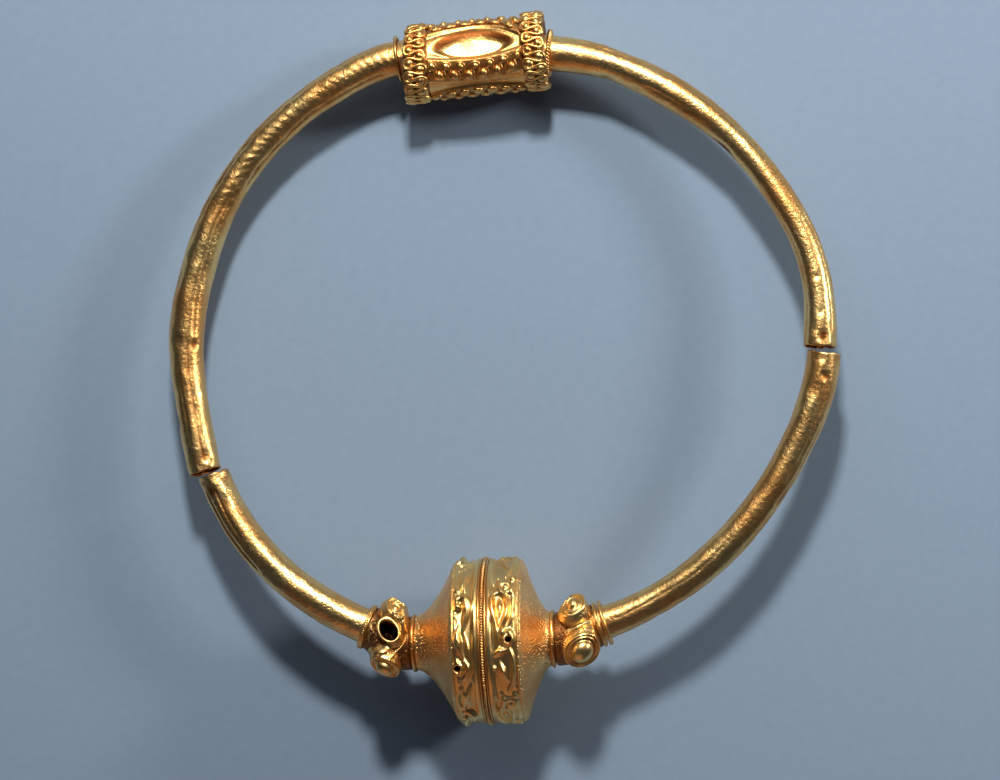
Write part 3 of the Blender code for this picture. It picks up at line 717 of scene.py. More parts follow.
def rim_height(u, angle, rim_width, motif, seed):
    """Height over a rim's floor and the depth of its pierced holes.  The work is a little uneven, and
    it is plain where the drum rests."""
    turn = np.radians(angle)
    spot = np.stack([u, np.cos(turn) * BUFFER_RADIUS, np.sin(turn) * BUFFER_RADIUS], axis=-1)
    from_top = np.abs(wrapped(angle))
    uneven = 0.4 + 0.6 * step(0.5, 1.2, from_top / 60)
    v_all = turn * BUFFER_RADIUS + 0.7 * mm * uneven * lumps(spot, 9 * mm, seed)
    u_all = u + 0.3 * mm * uneven * lumps(spot, 6 * mm, seed + 1)
    v = (v_all + RIM_CELL / 2) % RIM_CELL - RIM_CELL / 2
    raised, pierced = motif(u_all, v)
    for turn_on in (-RIM_CELL, RIM_CELL):
        more = motif(u_all, v + turn_on)
        raised, pierced = np.maximum(raised, more[0]), np.maximum(pierced, more[1])
    band = 0.75 * mm * np.sqrt(np.maximum(1 - ((u - 2.0 * mm) / (0.95 * mm)) ** 2, 0))
    edge = 0.55 * mm * step(rim_width - 1.5 * mm, rim_width - 0.4 * mm, u)
    raised = np.maximum(np.maximum(raised, band), edge)
    raised = 0.9 * softened(raised, 5) + 0.4 * softened(raised, 50)
    raised += 0.05 * mm * (1 + lumps(spot, 2.6 * mm, seed + 2))
    shoulder = 0.55 * mm * step(rim_width - 1.4 * mm, rim_width + 0.3 * mm, u)
    raised = np.minimum(raised, RELIEF_DEPTH) - shoulder
    under = step(28, 14, np.abs(from_top - 180))
    return raised * (1 - under) + (RELIEF_DEPTH - 0.1 * mm) * under, pierced * (1 - under)


def buffer(name, outward, length, rim_width, motif, material, node, seed):
    """One drum, from its face at the seam to the spigot that goes into its collar."""
    groove = SEAM_WIRE_RADIUS + CLEARANCE
    face = BUFFER_RADIUS - REST_CUT - 2 * SEAM_WIRE_RADIUS - CLEARANCE
    floor = BUFFER_RADIUS - RELIEF_DEPTH
    rim_u = np.linspace(groove + 0.15 * mm, rim_width, int(rim_width / RIM_ROW))
    cone_start = rim_width + BEVEL_RUN
    cone_u = np.linspace(cone_start, length, CONE_ROWS)
    cone_top = BUFFER_RADIUS - BEVEL_DROP
    from_neck = 1 - (cone_u - cone_start) / (length - cone_start)
    cone_r = NECK_RADIUS + (cone_top - NECK_RADIUS) * from_neck ** CONE_FLARE
    bevel_u = rim_width + BEVEL_RUN * np.array((0.2, 0.55, 0.85))
    bevel_r = BUFFER_RADIUS - BEVEL_DROP * np.array((0.42, 0.66, 0.9)) - 0.15 * mm
    spigot_end = length + 2 * WIRE_RADIUS + CLEARANCE + SPIGOT_DEPTH
    face_u = (CLEARANCE / 2, CLEARANCE / 2, groove, groove)
    face_r = (0.5 * face, face, face, floor + 0.5 * mm)
    spigot_u = (length, spigot_end, spigot_end)
    spigot_r = (SPIGOT_RADIUS, SPIGOT_RADIUS, 0.5 * SPIGOT_RADIUS)
    u = np.concatenate([face_u, rim_u, bevel_u, cone_u, spigot_u])
    base = np.concatenate([face_r, np.full(len(rim_u), floor), bevel_r, cone_r, spigot_r])
    angles = np.arange(BUFFER_COLUMNS) * 360 / BUFFER_COLUMNS
    grid_u, grid_a = np.meshgrid(u, angles, indexing="ij")
    radius = np.repeat(base[:, None], BUFFER_COLUMNS, axis=1)
    hollow = np.zeros(radius.shape)
    rim_end = len(face_u) + len(rim_u)
    on_rim = slice(len(face_u), rim_end)
    raised, pierced = rim_height(grid_u[on_rim], grid_a[on_rim], rim_width, motif, seed)
    radius[on_rim] += raised - pierced
    # Dirt and painted shade: the low fields between the relief darken, and pierced holes are painted near
    # black.
    hollow[on_rim] = np.clip(0.6 - raised / mm, 0, 1) + 1.4 * pierced / mm
    turn = np.radians(grid_a)
    spot = np.stack([grid_u, np.cos(turn) * radius, np.sin(turn) * radius], axis=-1)
    on_cone = slice(rim_end, -len(spigot_u))
    waves = 0.16 * mm * lumps(spot[on_cone], 7 * mm, seed + 4)
    radius[on_cone] += waves + 0.05 * mm * lumps(spot[on_cone], 2 * mm, seed + 5)
    hollow[on_cone] = 0.18 + 0.15 * lumps(spot[on_cone], 5 * mm, seed + 6)
    matt = np.zeros(radius.shape)
    matt[on_cone] = 1.0
    side, top = ring_frames(buffer_axis[None])
    spokes = np.cos(turn)[..., None] * top[0] + np.sin(turn)[..., None] * side[0]
    points = SEAM + outward * grid_u[..., None] + spokes * radius[..., None]
    points[..., 2] = np.maximum(points[..., 2], 0)
    dress(shell(name, points, {"hollow": hollow, "matt": matt}), material, "buffer_gold", node)


def buffer_finish():
    """Gold that is burnished on the relief and punched matt on the cones, with dirt and painted shade in its
    hollows and painted shade near black in its holes.
    """
    finish = Finish("buffer_gold")
    hollow = finish.mark("hollow")
    matt = finish.mark("matt")
    patches = finish.ramp(finish.noise(9 * mm, detail=4.0), 0.3, 0.7)
    speckle = finish.noise(0.5 * mm, detail=3.0, rough=0.65)
    dots = finish.ramp(finish.pits(0.9 * mm), 0.08, 0.5)
    # Painted shade: the deepest marks, in pierced holes and the lost eye's pit, turn near black.
    painted_hole_shade = finish.ramp(hollow, 1.3, 2.6)
    tone = finish.blend(patches, (0.92, 0.54, 0.18), (1.0, 0.72, 0.30))
    cone = finish.blend(patches, (0.88, 0.46, 0.15), (1.0, 0.65, 0.26))
    # Dirt and painted shade in the low fields between the relief.
    dirt_and_shade = finish.ramp(hollow + (speckle - 0.5) * 0.4, 0.3, 1.15)
    colour = finish.blend(dirt_and_shade, finish.blend(matt, tone, cone), (0.20, 0.06, 0.015))
    colour = finish.blend(painted_hole_shade, colour, (0.012, 0.005, 0.003))
    height = speckle * (0.04 * mm) + dots * matt * (0.2 * mm)
    rough = (speckle - 0.5) * 0.12 + matt * 0.07 + dirt_and_shade * 0.12 + 0.31
    finish.feed(finish.shader, {
        "Base Color": colour, "Roughness": rough, "Normal": finish.relief(height), "Metallic": 1.0,
    })
    return finish.material


buffer_gold = buffer_finish()
buffer(
    "left_buffer_drum", -buffer_axis, LEFT_LENGTH, LEFT_RIM_WIDTH, left_motif, buffer_gold,
    "left_buffer", seed=71,
)
buffer(
    "right_buffer_drum", buffer_axis, RIGHT_LENGTH, RIGHT_RIM_WIDTH, right_motif, buffer_gold,
    "right_buffer", seed=83,
)

# Seam and neck wires
# A beaded gold wire between two thin plain ones covers the seam of the two drums, and a shorter
# one lies in each neck.  Beaded wire is round wire rolled under a grooved blade, then soldered on.


class Pattern(Nodes):
    """A geometry node tree in the making, with a name, a kind and a starting value for each input."""

    def __init__(self, name, inputs):
        super().__init__(bpy.data.node_groups.new(name, "GeometryNodeTree"))
        face = self.tree.interface
        face.new_socket("Mesh", in_out="OUTPUT", socket_type="NodeSocketGeometry")
        for label, kind, value in inputs:
            socket = face.new_socket(label, in_out="INPUT", socket_type="NodeSocket" + kind)
            if value is not None:
                socket.default_value = value
        self.group_input = self.tree.nodes.new("NodeGroupInput")

    def given(self, label):
        """What comes in at a named input."""
        return Shade(self.tree, self.group_input.outputs[label])

    def join(self, *shapes):
        """Several shapes as one."""
        joined = self.tree.nodes.new("GeometryNodeJoinGeometry")
        for shape in shapes:
            self.tree.links.new(shape.socket, joined.inputs["Geometry"])
        return Shade(self.tree, joined.outputs[0])

    def wire(self, path, radius, sides=10):
        """A round wire along a path."""
        section = self.node("GeometryNodeCurvePrimitiveCircle", None, {
            "Resolution": sides, "Radius": radius,
        })
        return self.node("GeometryNodeCurveToMesh", None, {"Curve": path, "Profile Curve": section})

    def wave(self, operation, angle):
        """The SINE or COSINE of an angle in radians."""
        return self.node("ShaderNodeMath", {"operation": operation}, {0: angle})

    def send_out(self, shape):
        """Turns copies into plain mesh, paints it and ends the tree."""
        real = self.node("GeometryNodeRealizeInstances", None, {"Geometry": shape})
        soft = self.node("GeometryNodeSetShadeSmooth", None, {"Geometry": real})
        painted = self.node("GeometryNodeSetMaterial", None, {
            "Geometry": soft, "Material": self.given("Gold"),
        })
        self.feed(self.tree.nodes.new("NodeGroupOutput"), {"Mesh": painted})


def grow(name, pattern, values):
    """The plain mesh that a pattern makes with the given values at its inputs."""
    holder = bpy.data.objects.new(name, bpy.data.meshes.new(name))
    bpy.context.scene.collection.objects.link(holder)
    modifier = holder.modifiers.new(name, "NODES")
    modifier.node_group = pattern.tree
    for item in pattern.tree.interface.items_tree:
        if item.item_type == "SOCKET" and item.in_out == "INPUT" and item.name in values:
            modifier[item.identifier] = values[item.name]
    mesh = bpy.data.meshes.new_from_object(holder.evaluated_get(bpy.context.evaluated_depsgraph_get()))
    holder.modifiers.clear()
    bpy.data.objects.remove(holder)
    return mesh


def reshape(mesh, change):
    """Moves a mesh's points by a function of their coordinates."""
    flat = np.empty(3 * len(mesh.vertices))
    mesh.vertices.foreach_get("co", flat)
    mesh.vertices.foreach_set("co", change(flat.reshape(-1, 3)).ravel())
    mesh.update()


def around_axis(mesh, middle, axis):
    """Stands a mesh made round the Z axis on another axis; its X then points up."""
    run = unit(np.array(axis))
    side, top = ring_frames(run[None])
    turned = np.stack([top[0], side[0], run])
    reshape(mesh, lambda points: middle + points @ turned)


def linked(name, mesh):
    """An object for a mesh."""
    piece = bpy.data.objects.new(name, mesh)
    bpy.context.scene.collection.objects.link(piece)
    return piece


def beaded_ring_pattern():
    """A ring of beads on a core wire, with a plain thin ring on each side."""
    pattern = Pattern("beaded_ring", (
        ("Ring Radius", "Float", 0.024), ("Beads", "Int", 60), ("Bead Radius", "Float", 0.0005),
        ("Core Radius", "Float", 0.0004), ("Band Radius", "Float", 0.0003), ("Band Offset", "Float", 0.0007),
        ("Gold", "Material", None),
    ))
    beads_on = pattern.node("GeometryNodeCurvePrimitiveCircle", None, {
        "Resolution": pattern.given("Beads"), "Radius": pattern.given("Ring Radius"),
    })
    bead = pattern.node("GeometryNodeMeshIcoSphere", None, {
        "Subdivisions": 2, "Radius": pattern.given("Bead Radius"),
    })
    smallest, largest = 0.82, 1.08
    uneven = pattern.node(
        "FunctionNodeRandomValue", {"data_type": "FLOAT"}, {2: smallest, 3: largest, "Seed": 5}, output=1,
    )
    beads = pattern.node("GeometryNodeInstanceOnPoints", None, {
        "Points": beads_on, "Instance": bead, "Scale": uneven,
    })
    round_path = pattern.node("GeometryNodeCurvePrimitiveCircle", None, {
        "Resolution": 180, "Radius": pattern.given("Ring Radius"),
    })
    core = pattern.wire(round_path, pattern.given("Core Radius"))
    band = pattern.wire(round_path, pattern.given("Band Radius"), sides=8)
    bands = []
    for side in (-1, 1):
        shift = pattern.node("ShaderNodeCombineXYZ", None, {"Z": pattern.given("Band Offset") * side})
        bands.append(pattern.node("GeometryNodeTransform", None, {"Geometry": band, "Translation": shift}))
    pattern.send_out(pattern.join(beads, core, *bands))
    return pattern


SEAM_BEAD_RADIUS = 0.52 * mm
wire_gold = gold(
    "wire_gold", bright=(0.99, 0.66, 0.25), deep=(0.84, 0.44, 0.14), roughness=0.34,
    grain=0.03 * mm, grain_size=0.8 * mm,
)
beaded_ring = beaded_ring_pattern()
seam_ring = grow("seam_beading", beaded_ring, {
    "Ring Radius": BUFFER_RADIUS - REST_CUT - SEAM_BEAD_RADIUS, "Beads": 190, "Bead Radius": SEAM_BEAD_RADIUS,
    "Core Radius": 0.20 * mm, "Band Radius": 0.22 * mm, "Band Offset": 0.94 * mm, "Gold": wire_gold,
})
around_axis(seam_ring, SEAM, buffer_axis)
dress(linked("seam_beading", seam_ring), wire_gold, "wire_gold", "seam_wire")
for name, outward, length in (
    ("left_neck_beading", -buffer_axis, LEFT_LENGTH), ("right_neck_beading", buffer_axis, RIGHT_LENGTH),
):
    neck_ring = grow(name, beaded_ring, {
        "Ring Radius": NECK_RADIUS + 0.05 * mm, "Beads": 52, "Bead Radius": 0.5 * mm,
        "Core Radius": 0.46 * mm, "Band Radius": 0.18 * mm, "Band Offset": 0.34 * mm, "Gold": wire_gold,
    })
    around_axis(neck_ring, SEAM + outward * (length + WIRE_RADIUS + CLEARANCE / 2), buffer_axis)
    dress(linked(name, neck_ring), wire_gold, "wire_gold", name.replace("beading", "wire"))

# Collars
# Each collar is a sleeve of sheet gold, chased into eye bosses that a curling ridge joins.  The
# left one has lost the bead or stud of its middle eye, so a round pit with a bright rim is left.

COLLAR_RADIUS = 8.4 * mm
CUFF_RADIUS = 6.6 * mm
SLEEVE_SWELL = 0.5 * mm
LEFT_UPPER_KNOB = (4.7, -55)
LEFT_LOWER_KNOB = (6.0, 47)
LEFT_INNER_KNOB = (6.2, 172)
LOST_EYE = (6.2, -19)
LOST_EYE_REACH = 9.6 * mm
PIT_DEPTH = 5.0 * mm
RIGHT_UPPER_KNOB = (7.0, -52)
RIGHT_LOWER_KNOB = (7.2, 28)
RIGHT_INNER_KNOB = (6.4, 160)
KNOB_POWER = 2.6
KNOB_RISE = 3.4
COLLAR_ROWS = 140
COLLAR_COLUMNS = 340


def collar_path(outward, length, mouth, mouth_direction, share):
    """Points and directions from a buffer's neck to the tube, on one easy curve."""
    start = SEAM + outward * (length + 2 * WIRE_RADIUS + 2 * CLEARANCE)
    reach = np.linalg.norm(mouth - start)
    t = share[:, None]
    points = (
        start * (1 + 2 * t) * (1 - t) ** 2 + outward * reach * t * (1 - t) ** 2
        + mouth * t * t * (3 - 2 * t) + mouth_direction * reach * t * t * (t - 1)
    )
    ease = step(0, 1, t)
    return points, unit(outward * (1 - ease) + mouth_direction * ease), reach


def off_knob(place, middle):
    """Distance along the collar and angle round it from a knob at (mm from the neck, degrees round)."""
    s, turn, squeeze = place
    off = (turn - math.radians(middle[1]) + math.pi) % (2 * math.pi) - math.pi
    return (s - middle[0] * mm) * squeeze, off


def merged(low, high, soft):
    """The greater of two distances, with a soft valley where they meet."""
    share = np.clip(0.5 + 0.5 * (high - low) / soft, 0, 1)
    return low * (1 - share) + high * share + soft * share * (1 - share)


def knob_relief(away, dome, rings):
    """Height on a knob at a distance from its middle; a dome is (radius, height) and a ring is
    (radius, half width, height), in mm."""
    height = dome[1] * np.sqrt(np.maximum(1 - (away / dome[0]) ** 2, 0))
    height = height - 0.4 * np.exp(-(((away - dome[0] - 0.25) / 0.35) ** 2))
    for ring, half, tall in rings:
        height = np.maximum(height, tall * np.sqrt(np.maximum(1 - ((away - ring) / half) ** 2, 0)))
    return height


def with_knob(radius, raised, place, middle, size, reach, dome, rings):
    """A collar's radius, and the height of its detail, with one rounded knob set into it.

    Sizes are in mm.  Each point's radius is halved towards until it lies on the knob's own surface.
    """
    along, off = off_knob(place, middle)
    low, high = np.full(off.shape, 3.0), np.full(off.shape, 14.0)
    for _ in range(20):
        tried = (low + high) / 2
        away = np.hypot(along / mm, tried * np.sin(off))
        shoulder = np.maximum(1 - (away / size) ** KNOB_POWER, 0) ** (1 / KNOB_POWER)
        surface = reach - KNOB_RISE + KNOB_RISE * shoulder + knob_relief(away, dome, rings)
        top = np.where(away < size, surface, 0)
        under = tried * np.cos(off) < top
        low, high = np.where(under, tried, low), np.where(under, high, tried)
    knob_radius = np.where(np.abs(off) < 1.2, low * mm, 0)
    raised = np.where(knob_radius > radius, knob_relief(away, dome, rings) * mm, raised)
    return merged(radius, knob_radius, 0.6 * mm), raised


def ridge_round(place, points, width, height):
    """A ridge along (mm from the neck, degrees round) points of a collar."""
    line = [(a, math.radians(b) * COLLAR_RADIUS / mm) for a, b in points]
    return ridge(place[0], place[1] * COLLAR_RADIUS, line, width, height)


def dots_round(place, points, radius, height):
    """A row of small punched-up dots along (mm from the neck, degrees round) points of a collar."""
    line = curve_through([(a, math.radians(b) * COLLAR_RADIUS / mm) for a, b in points], parts=30)
    run = np.concatenate([[0], np.cumsum(np.hypot(*np.diff(line, axis=0).T))])
    places = np.arange(0, run[-1], 1.9 * radius)
    raised = np.zeros(place[0].shape)
    for u, v in zip(np.interp(places, run, line[:, 0]), np.interp(places, run, line[:, 1])):
        raised = np.maximum(raised, knob(place[0], place[1] * COLLAR_RADIUS, (u, v), radius, height))
    return raised


def left_collar_carving(place, base):
    """Upper spiral knob, pit of the lost eye, lower domed knob, and the ridge that curls between them."""
    radius, raised = base, np.zeros(base.shape)
    for middle, size, reach, dome, rings in (
        (LEFT_UPPER_KNOB, 5.4, 12.3, (0.95, 0.6), ((2.1, 0.55, 0.7), (3.8, 0.6, 0.8))),
        (LEFT_LOWER_KNOB, 5.0, 11.1, (2.6, 1.8), ((4.0, 0.5, 0.8),)),
        (LEFT_INNER_KNOB, 5.0, 11.0, (2.4, 1.6), ((3.8, 0.5, 0.7),)),
    ):
        radius, raised = with_knob(radius, raised, place, middle, size, reach, dome, rings)
    along, off = off_knob(place, LOST_EYE)
    away = np.hypot(along / 1.1, off * 10.2 * mm) / mm
    seat = step(4.2, 3.3, away)
    radius = radius * (1 - seat) + LOST_EYE_REACH * seat / np.cos(np.clip(off, -0.5, 0.5))
    raised = raised * (1 - seat)
    lines = np.zeros(base.shape)
    curl = (
        (1.8, -66), (0.6, -50), (0.8, -36), (1.8, -20), (3.3, -4), (5.4, 8), (7.8, 22), (9.8, 36), (10.6, 50),
    )
    for points, width, tall in (
        (curl, (0.6, 1.05, 0.5), 1.1),
        (((11.4, -24), (12.3, -17), (12.2, -8), (11.5, -5)), (0.25, 0.4, 0.25), 0.6),
        (((10.9, -2), (11.9, 10), (11.3, 24)), (0.25, 0.35, 0.25), 0.5),
    ):
        lines = np.maximum(lines, ridge_round(place, points, width, tall))
    dots = ((0.3, -30), (0.6, -16), (1.5, -4), (2.6, 7), (4.0, 17), (5.2, 26))
    lines = np.maximum(lines, dots_round(place, dots, 0.36, 0.55))
    lines = lines * step(3.3, 3.9, away)
    lines += 0.8 * mm * np.sqrt(np.maximum(1 - ((away - 3.05) / 0.5) ** 2, 0))
    pit = step(2.8, 2.45, away)
    return radius + lines - PIT_DEPTH * pit, np.maximum(raised, lines), pit


def right_collar_carving(place, base):
    """Upper knob with a small dome in two rings, and a large lower dome in two rings."""
    radius, raised = base, np.zeros(base.shape)
    lines = ridge_round(place, ((4.0, -12), (7.5, -15), (11.5, -16)), (1.0, 1.5, 1.2), 0.8)
    radius = radius + lines
    for middle, size, reach, dome, rings in (
        (RIGHT_UPPER_KNOB, 5.1, 11.4, (1.95, 1.4), ((3.05, 0.42, 0.7), (4.2, 0.5, 0.8))),
        (RIGHT_LOWER_KNOB, 6.1, 10.5, (3.5, 2.4), ((4.45, 0.33, 0.7), (5.25, 0.42, 0.9))),
        (RIGHT_INNER_KNOB, 5.0, 11.0, (2.4, 1.6), ((3.8, 0.5, 0.7),)),
    ):
        radius, raised = with_knob(radius, raised, place, middle, size, reach, dome, rings)
    rim = ridge_round(place, ((11.8, -34), (11.9, -12), (11.9, 12), (11.6, 34)), (0.4, 0.6, 0.4), 0.7)
    dots = ((3.1, -2), (2.3, 12), (2.1, 28), (2.7, 44))
    rim = np.maximum(rim, dots_round(place, dots, 0.36, 0.5))
    return radius + rim, np.maximum(np.maximum(raised, rim), 0.6 * lines), np.zeros(base.shape)


def collar(name, outward, length, bends, angle, into_tube, carving, material, node, seed):
    """One collar: its knobbed sleeve, and the socket that the tube stands in."""
    mouth = hoop_points(np.array([float(angle)]), bends)[0]
    columns = COLLAR_COLUMNS
    share = np.linspace(0, 1, COLLAR_ROWS)
    line, directions, reach = collar_path(outward, length, mouth, into_tube, share)
    degrees = np.arange(columns) * 360 / columns - 120
    turn, s = np.meshgrid(np.radians(degrees), share * reach)
    side, top = ring_frames(directions * (1 if outward[0] > 0 else -1))
    spokes = np.cos(turn)[..., None] * top[:, None] + np.sin(turn)[..., None] * side[:, None]
    ends = NECK_RADIUS + (CUFF_RADIUS - NECK_RADIUS) * step(0.72, 0.98, share)
    body = SLEEVE_SWELL * np.sin(math.pi * np.minimum(share / 0.8, 1.0))
    base = (ends + body - 0.25 * mm)[:, None] + 0 * s
    spot = np.stack([s, np.cos(turn) * COLLAR_RADIUS, np.sin(turn) * COLLAR_RADIUS], axis=-1)
    uneven = 0.10 * lumps(spot, 3.4 * mm, seed) * mm
    bend = directions[-1] - directions[0]
    squeeze = 1 - 10 * mm / reach * (spokes @ bend)
    wavy = s + 0.2 * mm * lumps(spot, 4 * mm, seed + 1)
    radius, raised, pit = carving((wavy, turn, squeeze), base)
    fade = (step(0, 0.05, share) * step(1, 0.94, share))[:, None]
    radius = base + (radius - base + uneven) * fade
    points = line[:, None] + spokes * radius[..., None]
    knobs = step(0.4 * mm, 2.0 * mm, radius - base)
    # Dirt and painted shade: the field away from knobs and ridges darkens, and the lost eye's pit is painted
    # near black.
    hollow = np.clip(0.95 - 0.45 * knobs - raised / (0.75 * mm), 0, 1) + 3.0 * pit
    bore = TUBE_RADIUS + CLEARANCE
    last = spokes[-1]
    inner = [
        line[-1] + last * (CUFF_RADIUS - 0.5 * mm), line[-1] + last * bore,
        line[-1] - into_tube * SOCKET_DEPTH + last * bore,
    ]
    rings = np.vstack([[line[0] + spokes[0] * (0.6 * NECK_RADIUS)], points, inner])
    # Painted shade inside the neck's cap and the tube's socket.
    marks = np.vstack([np.full((1, columns), 0.8), hollow, np.full((3, columns), 1.0)])
    punched = step(0.35 * mm, 0.1 * mm, raised) * (1 - 0.6 * knobs)
    matt = np.vstack([np.zeros((1, columns)), punched, np.zeros((3, columns))])
    dress(shell(name, rings, {"hollow": marks, "matt": matt}), material, "buffer_gold", node)


right_angle, left_angle = RIGHT_FRONT_BENDS[-1][0], LEFT_FRONT_BENDS[0][0]
right_away = -hoop_direction(right_angle, RIGHT_FRONT_BENDS)
left_away = hoop_direction(left_angle, LEFT_FRONT_BENDS)
collar(
    "right_collar_sleeve", buffer_axis, RIGHT_LENGTH, RIGHT_FRONT_BENDS, right_angle, right_away,
    right_collar_carving, buffer_gold, "right_collar", seed=131,
)
collar(
    "left_collar_sleeve", -buffer_axis, LEFT_LENGTH, LEFT_FRONT_BENDS, left_angle, left_away,
    left_collar_carving, buffer_gold, "left_collar", seed=143,
)

# Cuff wires
# Where a tube leaves its collar, a thin beaded wire goes round the left one, and two thin plain
# wires lie side by side round the right one.

ROPE_RADIUS = 0.85 * mm
left_mouth = hoop_points(np.array([left_angle]), LEFT_FRONT_BENDS)[0]
cuff_ring = grow("left_cuff_beading", beaded_ring, {
    "Ring Radius": TUBE_RADIUS + CLEARANCE + ROPE_RADIUS - 0.1 * mm, "Beads": 62, "Bead Radius": 0.40 * mm,
    "Core Radius": 0.34 * mm, "Band Radius": 0.26 * mm, "Band Offset": 0.50 * mm, "Gold": wire_gold,
})
around_axis(cuff_ring, left_mouth + left_away * (CLEARANCE + ROPE_RADIUS), left_away)
dress(linked("left_cuff_beading", cuff_ring), wire_gold, "wire_gold", "left_cuff_wire")


def plain_ring_pattern():
    """A round wire bent into a ring."""
    pattern = Pattern("plain_ring", (
        ("Ring Radius", "Float", 0.006), ("Wire Radius", "Float", 0.0005), ("Gold", "Material", None),
    ))
    path = pattern.node("GeometryNodeCurvePrimitiveCircle", None, {
        "Resolution": 96, "Radius": pattern.given("Ring Radius"),
    })
    pattern.send_out(pattern.wire(path, pattern.given("Wire Radius"), sides=14))
    return pattern


plain_ring = plain_ring_pattern()
right_mouth = hoop_points(np.array([right_angle]), RIGHT_FRONT_BENDS)[0]
for k, name in enumerate(("right_cuff_ring_inner", "right_cuff_ring_outer")):
    cuff_ring = grow(name, plain_ring, {
        "Ring Radius": TUBE_RADIUS + CLEARANCE + WIRE_RADIUS, "Wire Radius": WIRE_RADIUS, "Gold": wire_gold,
    })
    place = right_mouth + right_away * (CLEARANCE + WIRE_RADIUS + k * (2 * WIRE_RADIUS + 2 * CLEARANCE))
    around_axis(cuff_ring, place, right_away)
    dress(linked(name, cuff_ring), wire_gold, "wire_gold", name.replace("ring", "wire"))

# Muff
# A sleeve slides over the joint at the back.  Its sheet is dished into panels; a wire winds to and
# fro round each end and along each row between the panels, with a granule soldered into each bend.

MUFF_ANGLE = -5.7
MUFF_INSET = 1.2 * mm
MUFF_LENGTH = 42.7 * mm
MUFF_WALL = 2.9 * mm
END_WIDTH = 7.4 * mm
END_HEIGHT = 2.6 * mm
BODY_RADIUS = TUBE_RADIUS + CLEARANCE + MUFF_INSET + MUFF_WALL
# Each row's degrees round the muff at its left end, its middle and its right end.
ROW_ANGLES = ((-60, -74, -45), (20, 27, 16), (91, 79, 91), (176, 182, 176), (235.5, 235.5, 235.5))
ROW_RISE = 0.8 * mm
ROW_BENDS = 13
END_LEAN = 1.3 * mm
END_BENDS = 36
LIP_RADIUS = 8.6 * mm
MUFF_COLUMNS = 360
muff_turn = math.radians(MUFF_ANGLE)
muff_axis = np.array((math.cos(muff_turn), -math.sin(muff_turn), 0.0))
muff_out = oval_radius(MUFF_ANGLE) - MUFF_INSET
muff_middle = HOOP_MIDDLE + (muff_out * math.sin(muff_turn), muff_out * math.cos(muff_turn), BACK_AXIS_HEIGHT)
half_muff = MUFF_LENGTH / 2
shoulder = half_muff - END_WIDTH


def row_angle(k, x):
    """Degrees round the muff of a row at a distance along it; the rows bow a little."""
    left, middle, right = ROW_ANGLES[k]
    t = x / shoulder
    return middle + (np.where(t < 0, left, right) - middle) * t * t


def lean(x, out, angle):
    """Moves the left end's points along the muff, because that end isn't square to it."""
    share = step(-shoulder + 6 * mm, -half_muff, x)
    return x - END_LEAN * share * out * np.sin(angle) / (BODY_RADIUS + END_HEIGHT)


def panel(x, degrees, radius, hollow, k):
    """The sheet between two rows: a long dish, whose floor is flat where the panel is wide, with painted
    shade on its slopes.
    """
    first = row_angle(k, x)
    width = (row_angle((k + 1) % len(ROW_ANGLES), x) - first) % 360
    off = (degrees - first) % 360
    margin = 3.1 * mm
    half = np.radians(width) / 2 * BODY_RADIUS - margin
    from_middle = np.radians(off - width / 2) * BODY_RADIUS
    reach = np.hypot(from_middle / half, x / (shoulder - 0.4 * mm))
    inside = (off < width) & (reach < 1)
    edge = (1 - reach) * half
    wide = width.max() > 80
    floor_turn = np.radians(degrees - (ROW_ANGLES[k][1] + (62 if wide else 28)))
    floor_turn = (floor_turn + math.pi) % (2 * math.pi) - math.pi
    floor_out = 8.1 * mm if wide else BODY_RADIUS - 1.2 * mm
    floor_half = (8.2 * mm, 2.7 * mm) if wide else (8.0 * mm, 0.8 * mm)
    beyond = (np.hypot(x / floor_half[0], floor_turn * BODY_RADIUS / floor_half[1]) - 1) * floor_half[1]
    share = step(0, 1, edge / (edge + np.maximum(beyond, 1e-6)))
    flat = floor_out / np.cos(np.clip(floor_turn, -0.9, 0.9)) if wide else floor_out + 0 * x
    slope = 4 * share * (1 - share)
    # Painted shade: the dish's back slope, and its slopes towards the ends, are darkened.
    painted_shade = 0.18 + 0.9 * slope * step(0.1, -0.4, floor_turn) + 0.5 * slope * step(2 * mm, 9 * mm, np.abs(x))
    return np.where(inside, radius + (flat - radius) * share, radius), np.where(inside, painted_shade, hollow)


